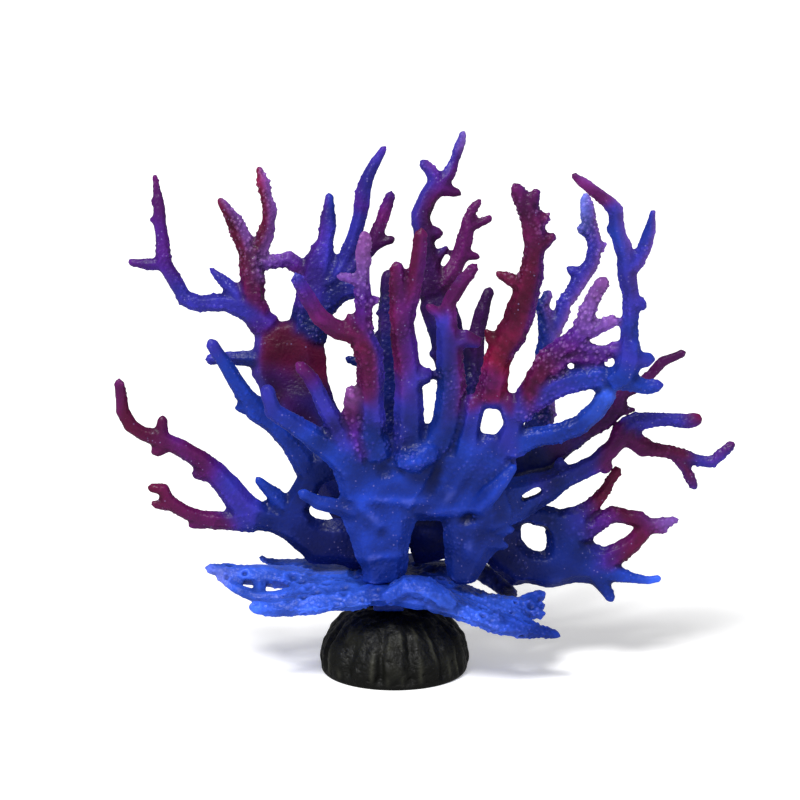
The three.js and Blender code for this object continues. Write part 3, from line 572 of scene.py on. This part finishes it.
def paint_with_painted_light(paint, points, bulge, dents, broad, seed):
    """Paint with painted shade in hollows and dents, painted highlight on bulges and raised reliefs, a slow
    random change in its depth, and a pale bloom on the trunks that is partly painted highlight.
    """
    convexity = np.clip(bulge / PAINTED_LIGHT_BULGE, -1, 1)
    drift = 1 + TINT_AMOUNT * waves(points, TINT_LENGTH, seed + 7)
    # Painted shade: darker in hollows and dents. Painted highlight: paler on bulges and raised reliefs.
    shade = np.clip(1 + 0.5 * convexity + 0.4 * dents / MM, 0.5, 1.6) * drift
    paint = paint * shade[:, None]
    # Partly painted highlight: a pale sky colour in patches on the bulges of the trunks and the skirt, partly
    # a pale bloom of paint.
    frost_and_highlight = FROST_AND_HIGHLIGHT_AMOUNT * smoothstep(0.2, 1.0, convexity + 0.5 * dents / MM) * broad
    frost_and_highlight *= smoothstep(-0.3, 0.8, waves(points, FROST_AND_HIGHLIGHT_LENGTH, seed + 8))
    return paint * (1 - frost_and_highlight)[:, None] + linear(PAINTS["sky"]) * frost_and_highlight[:, None]


def moulded_pieces(pieces, settings, seed, dented=False, dimpled=False):
    """One mould's seamless pieces: rounded, lumpy and pimpled, with their paint, painted shade and painted
    highlight stored.
    """
    nodes = [node for members in pieces.values() for node in members]
    mesh, net, points, normals = bare_skin(nodes, settings)
    paint, pimpled, pale, owner = bough_fields(nodes, points, normals)
    paint = net.soften(paint, 24)
    pimpled = net.soften(pimpled, 20)
    pale = net.soften(pale, 20)
    wide_nodes = [k for k, node in enumerate(nodes) if "trunk" in node or "skirt" in node]
    broad = net.soften(np.isin(owner, wide_nodes).astype(float), 40)

    lumps = waves(points, settings.lump_length, seed) * settings.lump_height
    lumps += waves(points, GRAIN_LENGTH, seed + 4) * GRAIN_HEIGHT * smoothstep(0.2, 0.9, pimpled)
    lumps += waves(points, SWELL_LENGTH, seed + 5) * settings.body_relief * broad
    dents = reliefs(points, normals) if dented else np.zeros(len(points))
    lumps += dents
    taller = np.ones(len(points))
    if dimpled:
        lumps += craters(points, seed + 6) * smoothstep(0.25, 0.6, np.abs(normals[:, 2]))
        taller += 0.8 * smoothstep(0.5, 0.9, 1 - np.abs(normals[:, 2]))
    patch = smoothstep(-0.8, 0.5, waves(points, PATCH_LENGTH, seed + 1))
    strength = np.clip(pimpled * (0.4 + 1.1 * patch), 0, 1)
    dome = pimples(points, settings, seed + 2)
    points = points + normals * (lumps + dome * strength * taller * settings.pimple_height)[:, None]
    low, high = np.array(CAD_BOX)
    points = np.clip(points, low, high)
    set_points(mesh, points)

    # How far each point stands out from its smoothed surroundings, which sets the painted shade and painted
    # highlight.
    bulge = np.einsum("ij,ij->i", points - net.soften(points, 24), normals)
    write_colour(mesh, "paint", paint_with_painted_light(paint, points, bulge, dents, broad, seed))
    write_value(mesh, "pimple", dome * strength)
    write_value(mesh, "pale", pale * strength)
    mesh.shade_smooth()
    return split_pieces(mesh, net, pieces, owner)


def split_pieces(mesh, net, pieces, owner):
    """The mould's mesh as one object for each piece, parted along the seams between their boughs."""
    kept = whole_shell(mesh)
    first = get_quads(mesh)[:, 0]
    piece_of_node = np.concatenate(
        [np.full(len(members), k) for k, members in enumerate(pieces.values())])
    side = net.soften(piece_of_node[owner].astype(float), 12)
    made = []
    for k, name in enumerate(pieces):
        chosen = kept[first] & (np.round(side[first]).astype(int) == k)
        made.append(new_object(name, part_of(mesh, chosen, get_normals(mesh), name)))
    bpy.data.meshes.remove(mesh)
    return made


# ---- materials ------------------------------------------------------------------------------

class Graph:
    """Short calls to lay out one node tree."""

    def __init__(self, tree):
        self.tree = tree
        self.place = 0

    def node(self, kind, inputs=(), **settings):
        """Adds a node, sets its properties, and links or sets its inputs."""
        node = self.tree.nodes.new(kind)
        node.location = (self.place * 180, 0)
        self.place += 1
        for key, value in settings.items():
            setattr(node, key, value)
        for key, value in dict(inputs).items():
            self.feed(node.inputs[key], value)
        return node

    def feed(self, socket, value):
        """Links a socket to another one's output, or sets its value."""
        if isinstance(value, bpy.types.NodeSocket):
            self.tree.links.new(value, socket)
        else:
            socket.default_value = value

    def math(self, operation, a, b=0.0):
        """A Math node's result."""
        return self.node("ShaderNodeMath", {0: a, 1: b}, operation=operation).outputs[0]

    def ramp(self, value, low, high):
        """0 at low, 1 at high, held between them."""
        node = self.node(
            "ShaderNodeMapRange", {"Value": value, "From Min": low, "From Max": high}, clamp=True)
        return node.outputs[0]

    def mix(self, factor, a, b):
        """Two colours mixed."""
        node = self.node("ShaderNodeMix", data_type="RGBA")
        for socket, value in ((node.inputs[0], factor), (node.inputs[6], a), (node.inputs[7], b)):
            self.feed(socket, value)
        return node.outputs[2]

    def noise(self, vector, scale, detail=2.0):
        """Noise of that many features per metre."""
        return self.node(
            "ShaderNodeTexNoise", {"Vector": vector, "Scale": scale, "Detail": detail}).outputs["Fac"]


def rgba(colour):
    """An sRGB colour as a linear colour with alpha."""
    return (*linear(colour), 1.0)


def new_group(name, sockets):
    """An empty shader group with its sockets, and its input and output nodes."""
    group = bpy.data.node_groups.new(name, "ShaderNodeTree")
    for label, direction, kind, default in sockets:
        socket = group.interface.new_socket(label, in_out=direction, socket_type="NodeSocket" + kind)
        if default is not None:
            socket.default_value = default
    graph = Graph(group)
    entry = graph.node("NodeGroupInput")
    exit_node = graph.node("NodeGroupOutput")
    return group, graph, entry.outputs, exit_node.inputs


def mottle_group():
    """Uneven tint over a colour: cloudy light and dark areas, and sparse pale dots in patches that are partly
    pale specks and partly painted glints.
    """
    group, graph, given, out = new_group("Mottle", [
        ("Color", "INPUT", "Color", (0.5, 0.5, 0.5, 1)),
        ("Cloud Scale", "INPUT", "Float", 180.0),
        ("Cloud Amount", "INPUT", "Float", 0.3),
        ("Dot Scale", "INPUT", "Float", 900.0),
        ("Dot Size", "INPUT", "Float", 0.2),
        ("Dot Amount", "INPUT", "Float", 0.4),
        ("Dot Color", "INPUT", "Color", (0.7, 0.6, 0.85, 1)),
        ("Color", "OUTPUT", "Color", None),
        ("Height", "OUTPUT", "Float", None),
    ])
    place = graph.node("ShaderNodeTexCoord").outputs["Object"]
    cloud = graph.noise(place, given["Cloud Scale"], 3)
    shade = graph.math("MULTIPLY", graph.math("SUBTRACT", cloud, 0.5), given["Cloud Amount"])
    shaded = graph.node(
        "ShaderNodeHueSaturation",
        {"Value": graph.math("ADD", 1.0, graph.math("MULTIPLY", shade, 2.0)), "Color": given["Color"]})
    cells = graph.node("ShaderNodeTexVoronoi", {"Vector": place, "Scale": given["Dot Scale"]}).outputs
    luck = graph.node("ShaderNodeSeparateColor", {"Color": cells["Color"]}).outputs
    size = graph.math("MULTIPLY", given["Dot Size"], graph.math("ADD", luck[1], 0.4))
    inside = graph.ramp(graph.math("SUBTRACT", size, cells["Distance"]), 0.0, 0.06)
    patch = graph.ramp(graph.noise(place, 110.0, 2), 0.42, 0.62)
    chosen = graph.ramp(graph.math("ADD", luck[0], graph.math("MULTIPLY", patch, 0.5)), 0.85, 1.15)
    # Sparse pale dots in patches: partly pale specks, partly painted glints.
    dot = graph.math("MULTIPLY", inside, chosen)
    covered = graph.math("MULTIPLY", dot, given["Dot Amount"])
    result = graph.mix(covered, shaded.outputs[0], given["Dot Color"])
    grain = graph.noise(place, 1300.0, 2)
    graph.feed(out["Color"], result)
    graph.feed(out["Height"], grain)
    return group


def place_group(graph, group, inputs):
    """Puts a group in a material with its own values."""
    node = graph.tree.nodes.new("ShaderNodeGroup")
    node.node_tree = group
    for key, value in inputs.items():
        graph.feed(node.inputs[key], value)
    return node.outputs


def new_material(name, **sockets):
    """A material with a Principled shader whose fixed values are set on its own sockets."""
    material = bpy.data.materials.new(name)
    material.use_nodes = True
    shader = material.node_tree.nodes["Principled BSDF"]
    for key, value in sockets.items():
        shader.inputs[key.replace("_", " ")].default_value = value
    return material, Graph(material.node_tree), shader


def soft_plastic(name, mottle, cloud, dots, translucency):
    """Satin soft plastic: airbrushed paint with painted shade and highlight, pale rubbed pimples, pale dots
    that are partly specks and partly painted glints, a finely pitted skin.
    """
    material, graph, shader = new_material(
        name, Specular_IOR_Level=0.17, Subsurface_Weight=translucency,
        Subsurface_Radius=(0.5, 0.6, 1.4), Subsurface_Scale=0.0010)
    paint = graph.node("ShaderNodeAttribute", attribute_name="paint").outputs["Color"]
    pimple = graph.node("ShaderNodeAttribute", attribute_name="pimple").outputs["Fac"]
    pale = graph.node("ShaderNodeAttribute", attribute_name="pale").outputs["Fac"]
    tinted = place_group(graph, mottle, {
        "Color": paint, "Cloud Scale": 170.0, "Cloud Amount": cloud, "Dot Scale": 1050.0, "Dot Size": 0.20,
        "Dot Amount": dots, "Dot Color": rgba((0.62, 0.58, 0.82))})
    top = graph.math("MULTIPLY", graph.ramp(pimple, 0.12, 0.6), pale)
    rubbed = graph.mix(graph.math("MULTIPLY", top, 0.16), tinted["Color"], rgba((0.74, 0.56, 0.80)))
    graph.feed(shader.inputs["Base Color"], rubbed)
    rough = graph.node("ShaderNodeMapRange", {
        "Value": tinted["Height"], "From Min": 0.3, "From Max": 0.7, "To Min": 0.30, "To Max": 0.5})
    gloss = graph.math("MULTIPLY", graph.ramp(pimple, 0.05, 0.5), 0.2)
    graph.feed(shader.inputs["Roughness"], graph.math("SUBTRACT", rough.outputs[0], gloss))
    bump = graph.node("ShaderNodeBump", {
        "Height": tinted["Height"], "Strength": 0.7, "Distance": 0.0003})
    graph.feed(shader.inputs["Normal"], bump.outputs[0])
    return material


def black_ceramic(mottle):
    """Rough black body with pits painted darker as painted shade, pale green-brown on the lobes' raised edges
    as painted highlight, and pale green-brown dust in patches higher up.
    """
    material, graph, shader = new_material("rough_black_ceramic", Specular_IOR_Level=0.22)
    ridge = graph.node("ShaderNodeAttribute", attribute_name="ridge").outputs["Fac"]
    pit = graph.node("ShaderNodeAttribute", attribute_name="pit").outputs["Fac"]
    # The base's sparse pale dots are partly specks and partly painted glints.
    tinted = place_group(graph, mottle, {
        "Color": rgba((0.032, 0.035, 0.026)), "Cloud Scale": 260.0, "Cloud Amount": 0.8, "Dot Scale": 1100.0,
        "Dot Size": 0.2, "Dot Amount": 0.06, "Dot Color": rgba((0.5, 0.5, 0.45))})
    # Pale green-brown on the lobes' raised edges is painted highlight; in patches higher up it is dust.
    dust_and_highlight = graph.mix(graph.math("MULTIPLY", ridge, 0.22), tinted["Color"], rgba((0.40, 0.40, 0.33)))
    # Painted shade: the pits are painted darker.
    dark = graph.mix(graph.math("MULTIPLY", pit, 0.6), dust_and_highlight, rgba((0.03, 0.03, 0.028)))
    graph.feed(shader.inputs["Base Color"], dark)
    rough = graph.node("ShaderNodeMapRange", {
        "Value": tinted["Height"], "From Min": 0.3, "From Max": 0.7, "To Min": 0.42, "To Max": 0.7})
    graph.feed(shader.inputs["Roughness"], rough.outputs[0])
    bump = graph.node("ShaderNodeBump", {
        "Height": tinted["Height"], "Strength": 0.8, "Distance": 0.0004})
    graph.feed(shader.inputs["Normal"], bump.outputs[0])
    return material


def shared_mottle():
    """The Mottle group, made once."""
    return bpy.data.node_groups.get("Mottle") or mottle_group()


def dress(piece, material, slot, *nodes):
    """Gives a piece its material and its body, and hides the nodes that it stands for."""
    piece.data.materials.append(material)
    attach(piece, "root")
    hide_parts(*nodes)


# ---- base and peg -----------------------------------------------------------------------------

def ring_mesh(name, rings):
    """A closed surface through rings of points, from the bottom ring to the top one."""
    count = len(rings[0])
    points = [tuple(np.mean(rings[0], axis=0))]
    for ring in rings:
        points.extend(map(tuple, ring))
    points.append(tuple(np.mean(rings[-1], axis=0)))
    faces = [(0, 1 + (j + 1) % count, 1 + j) for j in range(count)]
    for i in range(len(rings) - 1):
        low, high = 1 + i * count, 1 + (i + 1) * count
        faces += [(low + j, low + (j + 1) % count, high + (j + 1) % count, high + j) for j in range(count)]
    top, last = 1 + (len(rings) - 1) * count, len(points) - 1
    faces += [(last, top + j, top + (j + 1) % count) for j in range(count)]
    mesh = bpy.data.meshes.new(name)
    mesh.from_pydata(points, [], faces)
    mesh.shade_smooth()
    return mesh


# The dome's outline from its foot to its top, as shares of its height and of its radius.
DOME = [
    (0.0, 0.955), (0.03, 0.978), (0.08, 0.992), (0.16, 1.0), (0.28, 0.994), (0.41, 0.965), (0.54, 0.915),
    (0.66, 0.85), (0.77, 0.772), (0.86, 0.68), (0.93, 0.565), (0.97, 0.44), (0.992, 0.30), (1.0, 0.06)]


def dome_profile(height):
    """The dome's rounded outline from (height share, radius share) pairs: radius share and height."""
    corners = np.array(DOME)
    steps = np.linspace(0, len(DOME) - 1, 96)
    lift = np.interp(steps, np.arange(len(DOME)), corners[:, 0])
    share = np.interp(steps, np.arange(len(DOME)), corners[:, 1])
    for _ in range(20):
        lift[1:-1] = (lift[:-2] + 2 * lift[1:-1] + lift[2:]) / 4
        share[1:-1] = (share[:-2] + 2 * share[1:-1] + share[2:]) / 4
    return list(zip(share, lift * height))


GROOVE_WIDTH = 0.46
BRINK_PLACE, BRINK_WIDTH, BRINK_HEIGHT = 0.74, 0.13, 0.15 * MM  # the raised edge of each lobe
BASE_LUMP_LENGTH, BASE_LUMP_HEIGHT = 4.5 * MM, 0.34 * MM
BASE_GRAIN_LENGTH, BASE_GRAIN_HEIGHT = 1.3 * MM, 0.13 * MM
PIT_DEPTH = 0.40 * MM


def domed_base(settings):
    """A pumpkin-like dome: swollen lobes between worn grooves, pitted and a little uneven."""
    low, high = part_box("base")
    radius, height = (high.x - low.x) / 2, high.z
    angles = np.linspace(0, 2 * math.pi, settings.around, endpoint=False)
    shift = 0.30 * np.sin(angles * 2 + 1.0) + 0.22 * np.sin(angles * 5 + 2.2)
    rings, ridge = [], []
    for share, z in dome_profile(height):
        climb = z / height
        sway = 0.5 * (climb - 0.4) ** 2 * np.sin(angles * 3 + 0.7)
        phase = angles * settings.lobes / 2 + shift + sway
        groove = np.exp(-((np.sin(phase) / GROOVE_WIDTH) ** 2))
        brink = np.exp(-(((np.abs(np.sin(phase)) - BRINK_PLACE) / BRINK_WIDTH) ** 2))
        fade = smoothstep(0.02, 0.2, climb) * (1 - 0.8 * smoothstep(0.75, 1.0, climb))
        ring_radius = radius * share * (1 - settings.groove_depth * groove * fade)
        ring_radius = ring_radius + BRINK_HEIGHT * brink * fade - BRINK_HEIGHT
        across = [ring_radius * np.cos(angles), ring_radius * np.sin(angles)]
        rings.append(np.stack([*across, np.full_like(angles, z)], 1))
        ridge.append(fade * brink)
    mesh = ring_mesh("ribbed_base", rings)
    points = get_points(mesh)
    normals = get_normals(mesh)
    rise = smoothstep(0.4 * MM, 2.0 * MM, points[:, 2])
    lumps = BASE_LUMP_HEIGHT * waves(points, BASE_LUMP_LENGTH, 81)
    lumps += BASE_GRAIN_HEIGHT * waves(points, BASE_GRAIN_LENGTH, 82)
    pit_field = waves(points, 1.5 * MM, 83) * 0.6 + waves(points, 0.9 * MM, 84) * 0.5
    pit = smoothstep(0.85, 1.25, pit_field) * rise
    points = points + normals * ((lumps - 0.1 * MM) * rise - PIT_DEPTH * pit)[:, None]
    points = np.clip(points, [low.x, low.y, 0], [high.x, high.y, high.z])
    set_points(mesh, points)
    # The lobes' raised edges, where the pale colour is painted highlight; the dust patches are added to it.
    mask = np.concatenate([[0], np.concatenate(ridge), [0]])
    uneven = np.clip(0.15 + 0.9 * waves(points, 5 * MM, 86), 0, 1)
    dust = np.clip(0.5 * waves(points, 7 * MM, 88) - 0.15, 0, 1) * smoothstep(0.1, 0.5, points[:, 2] / height)
    write_value(mesh, "ridge", np.clip(mask * uneven + dust, 0, 1))
    # The pits, which the material paints darker as painted shade.
    write_value(mesh, "pit", pit)
    return new_object("ribbed_base", mesh)


def rounded_block(low, high, corner, z_steps):
    """Rings of a block with rounded upright corners between two corners of its box."""
    rings = []
    for z, inset in z_steps:
        ring = []
        half = np.array([(high[0] - low[0]) / 2 - inset, (high[1] - low[1]) / 2 - inset])
        middle = np.array([(high[0] + low[0]) / 2, (high[1] + low[1]) / 2])
        for k in range(4):
            turn = k * math.pi / 2
            sign = np.array([1 if k in (0, 3) else -1, 1 if k in (0, 1) else -1])
            for step in range(7):
                angle = turn + step / 6 * math.pi / 2
                outward = np.array([math.cos(angle), math.sin(angle)])
                spot = middle + sign * (half - corner) + corner * outward
                ring.append((spot[0], spot[1], z))
        rings.append(np.array(ring))
    return rings


def stepped_peg():
    """The plug under the fan: a wide step and a narrow one with worn, moulded edges."""
    low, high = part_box("mounting_peg")
    middle = low.z + (high.z - low.z) / 2
    wide = rounded_block(low, high, 0.7 * MM, [
        (low.z, 0.35 * MM), (low.z + 0.25 * MM, 0.08 * MM), (low.z + 0.6 * MM, 0.0),
        (middle - 0.5 * MM, 0.1 * MM), (middle - 0.12 * MM, 0.3 * MM)])
    narrow = rounded_block(low, high, 0.6 * MM, [
        (middle, 1.05 * MM), (middle + 0.3 * MM, 1.25 * MM),
        (high.z - 0.5 * MM, 1.3 * MM), (high.z, 1.6 * MM)])
    mesh = ring_mesh("stepped_peg", wide + narrow)
    mesh = remeshed(mesh, 0.18 * MM)
    net = Net(get_edges(mesh), len(mesh.vertices))
    points = net.fair(get_points(mesh), 6)
    set_points(mesh, points)
    points = points + get_normals(mesh) * (0.05 * MM * waves(points, 1.2 * MM, 61) - 0.05 * MM)[:, None]
    set_points(mesh, np.clip(points, list(low), list(high)))
    count = len(points)
    write_colour(mesh, "paint", np.tile(linear(PAINTS["blue"]), (count, 1)))
    write_value(mesh, "pimple", np.zeros(count))
    write_value(mesh, "pale", np.zeros(count))
    mesh.shade_smooth()
    mesh.name = "stepped_peg"
    return new_object("stepped_peg", mesh)


# ---- settings -----------------------------------------------------------------------------------

class SeaFanSheetSettings(bpy.types.PropertyGroup):
    """How the branching sheets are moulded."""

    net: bpy.props.FloatProperty(
        name="Net size", description="Spacing of the sheet's mesh",
        default=0.36 * MM, unit="LENGTH", precision=5)
    closing: bpy.props.FloatProperty(
        name="Closing", description="How wide a gap between boughs is closed, halved",
        default=0.42 * MM, unit="LENGTH", precision=5)
    rounding: bpy.props.IntProperty(
        name="Rounding", description="Rounds of smoothing that round off the boughs", default=22, min=0)
    lump_length: bpy.props.FloatProperty(
        name="Lump length", description="Spacing of the low lumps",
        default=3.4 * MM, unit="LENGTH", precision=5)
    lump_height: bpy.props.FloatProperty(
        name="Lump height", description="Height of the low lumps",
        default=0.16 * MM, unit="LENGTH", precision=5)
    body_relief: bpy.props.FloatProperty(
        name="Body relief", description="Height of the broad swellings on the trunks and the skirt",
        default=0.42 * MM, unit="LENGTH", precision=5)
    pimple_spacing: bpy.props.FloatProperty(
        name="Pimple spacing", description="Distance between pimples",
        default=0.95 * MM, unit="LENGTH", precision=5)
    pimple_radius: bpy.props.FloatProperty(
        name="Pimple radius", description="Radius of one pimple",
        default=0.55 * MM, unit="LENGTH", precision=5)
    pimple_height: bpy.props.FloatProperty(
        name="Pimple height", description="Height of the tallest pimples",
        default=0.56 * MM, unit="LENGTH", precision=5)


class SeaFanBaseSettings(bpy.types.PropertyGroup):
    """The ribbed base."""

    lobes: bpy.props.IntProperty(name="Lobes", description="Lobes around the dome", default=14, min=3)
    groove_depth: bpy.props.FloatProperty(
        name="Groove depth", description="Depth of the grooves as a share of the radius", default=0.06, min=0)
    around: bpy.props.IntProperty(
        name="Columns", description="Mesh columns around the dome", default=336, min=24)


class SeaFanStageSettings(bpy.types.PropertyGroup):
    """Floor, light and camera."""

    floor_tint: bpy.props.FloatVectorProperty(
        name="Floor", description="Colour of the floor", default=(0.93, 0.93, 0.93), subtype="COLOR")
    floor_glow: bpy.props.FloatProperty(
        name="Floor glow", description="Light that the floor gives off itself", default=0.3, min=0)
    distance: bpy.props.FloatProperty(
        name="Distance", description="From the camera to the fan", default=0.75, unit="LENGTH")
    elevation: bpy.props.FloatProperty(
        name="Elevation", description="How far the camera looks down",
        default=math.radians(13), unit="ROTATION")
    lens: bpy.props.FloatProperty(name="Lens", description="Focal length", default=132.5, unit="CAMERA")


# ---- operators ----------------------------------------------------------------------------------

class SEAFAN_OT_sheets(bpy.types.Operator):
    """Builds the six upright branching sheets"""

    bl_idname = "seafan.sheets"
    bl_label = "Upright sheets"

    def execute(self, context):
        material = soft_plastic(
            "airbrushed_soft_plastic", shared_mottle(), cloud=0.35, dots=0.25, translucency=0.05)
        for k, (mould, pieces) in enumerate(MOULDS.items()):
            seed = 100 + 10 * k
            made = moulded_pieces(pieces, context.scene.seafan_sheets, seed, dented=mould == "front")
            for piece, nodes in zip(made, pieces.values()):
                dress(piece, material, "deep_blue_plastic", *nodes)
        return {"FINISHED"}


class SEAFAN_OT_skirt(bpy.types.Operator):
    """Builds the lying skirt under the sheets"""

    bl_idname = "seafan.skirt"
    bl_label = "Skirt"

    def execute(self, context):
        material = soft_plastic(
            "bright_blue_soft_plastic", shared_mottle(), cloud=0.5, dots=0.15, translucency=0.08)
        (skirt,) = moulded_pieces(SKIRT, context.scene.seafan_sheets, 300, dimpled=True)
        dress(skirt, material, "bright_blue_plastic", *SKIRT["skirt_sheet"])
        return {"FINISHED"}


class SEAFAN_OT_peg(bpy.types.Operator):
    """Builds the stepped mounting peg"""

    bl_idname = "seafan.peg"
    bl_label = "Mounting peg"

    def execute(self, context):
        material = soft_plastic(
            "clear_blue_soft_plastic", shared_mottle(), cloud=0.2, dots=0.1, translucency=0.2)
        dress(stepped_peg(), material, "bright_blue_plastic", "mounting_peg")
        return {"FINISHED"}


class SEAFAN_OT_base(bpy.types.Operator):
    """Builds the ribbed black base"""

    bl_idname = "seafan.base"
    bl_label = "Ribbed base"

    def execute(self, context):
        dress(domed_base(context.scene.seafan_base), black_ceramic(shared_mottle()), "base_black", "base")
        return {"FINISHED"}


def turned_to(place, target):
    """The rotation of a light at that place that faces the target."""
    return (Vector(target) - Vector(place)).to_track_quat("-Z", "Y").to_euler()


def sun_light(name, place, target, spread, power):
    """Even soft light from one side, that reaches the whole floor."""
    data = bpy.data.lights.new(name, "SUN")
    data.angle = math.radians(spread)
    data.energy = power
    light = new_object(name, data)
    light.rotation_euler = turned_to(place, target)


def area_light(name, place, target, size, power):
    """A soft square light that faces a point."""
    data = bpy.data.lights.new(name, "AREA")
    data.shape = "SQUARE"
    data.size = size
    data.energy = power
    light = new_object(name, data)
    light.location = place
    light.rotation_euler = turned_to(place, target)


MIDDLE = (0, 0, 0.07)  # what the lights face
VIEW_TARGET = (0.0015, 0.0, 0.0715)
FLOOR_REACH = 9.0
WORLD_STRENGTH = 0.33


class SEAFAN_OT_stage(bpy.types.Operator):
    """Builds the pale floor, the soft light and the camera"""

    bl_idname = "seafan.stage"
    bl_label = "Stage"

    def execute(self, context):
        scene = context.scene
        settings = scene.seafan_stage
        mesh = bpy.data.meshes.new("floor")
        far = FLOOR_REACH
        corners = [(-far, -far, 0), (far, -far, 0), (far, far, 0), (-far, far, 0)]
        mesh.from_pydata(corners, [], [(0, 1, 2, 3)])
        floor = new_object("floor", mesh)
        material, _, _ = new_material(
            "pale_floor", Base_Color=(*settings.floor_tint, 1), Roughness=0.9,
            Emission_Color=(1, 1, 1, 1), Emission_Strength=settings.floor_glow)
        mesh.materials.append(material)
        floor.visible_glossy = False  # its glare would veil the sheets' colours

        world = bpy.data.worlds.new("studio")
        world.use_nodes = True
        sky = world.node_tree.nodes["Background"].inputs
        sky["Color"].default_value = (1, 1, 1, 1)
        sky["Strength"].default_value = WORLD_STRENGTH
        scene.world = world
        sun_light("key", (-0.35, -0.7, 1.05), MIDDLE, spread=18, power=3.3)
        area_light("fill", (0.6, -0.7, 0.35), MIDDLE, size=0.5, power=0.8)

        target = Vector(VIEW_TARGET)
        back = Vector((0, -math.cos(settings.elevation), math.sin(settings.elevation)))
        data = bpy.data.cameras.new("camera")
        data.lens = settings.lens
        data.sensor_width = 36
        data.clip_start = 0.01
        camera = new_object("camera", data)
        camera.location = target + back * settings.distance
        camera.rotation_euler = (-back).to_track_quat("-Z", "Y").to_euler()
        scene.camera = camera
        scene.view_settings.view_transform = "Standard"
        return {"FINISHED"}


class SEAFAN_PT_panel(bpy.types.Panel):
    """Shows the fan's settings and the buttons that build it"""

    bl_label = "Sea fan"
    bl_idname = "SEAFAN_PT_panel"
    bl_space_type = "VIEW_3D"
    bl_region_type = "UI"
    bl_category = "Sea fan"

    def draw(self, context):
        for group in (context.scene.seafan_sheets, context.scene.seafan_base, context.scene.seafan_stage):
            box = self.layout.box()
            for key in group.__annotations__:
                box.prop(group, key)
        for operator in OPERATORS:
            self.layout.operator(operator.bl_idname)


GROUPS = {
    "seafan_sheets": SeaFanSheetSettings,
    "seafan_base": SeaFanBaseSettings,
    "seafan_stage": SeaFanStageSettings,
}
OPERATORS = (SEAFAN_OT_base, SEAFAN_OT_peg, SEAFAN_OT_skirt, SEAFAN_OT_sheets, SEAFAN_OT_stage)


def register():
    """Makes the settings, operators and panel known."""
    for key, group in GROUPS.items():
        bpy.utils.register_class(group)
        setattr(bpy.types.Scene, key, bpy.props.PointerProperty(type=group))
    for item in (*OPERATORS, SEAFAN_PT_panel):
        bpy.utils.register_class(item)


def unregister():
    """Takes them away again."""
    for item in (*OPERATORS, SEAFAN_PT_panel):
        bpy.utils.unregister_class(item)
    for key, group in GROUPS.items():
        delattr(bpy.types.Scene, key)
        bpy.utils.unregister_class(group)


def main():
    """Builds the whole fan."""
    register()
    bpy.ops.seafan.base()
    bpy.ops.seafan.peg()
    bpy.ops.seafan.skirt()
    bpy.ops.seafan.sheets()
    bpy.ops.seafan.stage()


if __name__ == "__main__":
    main()
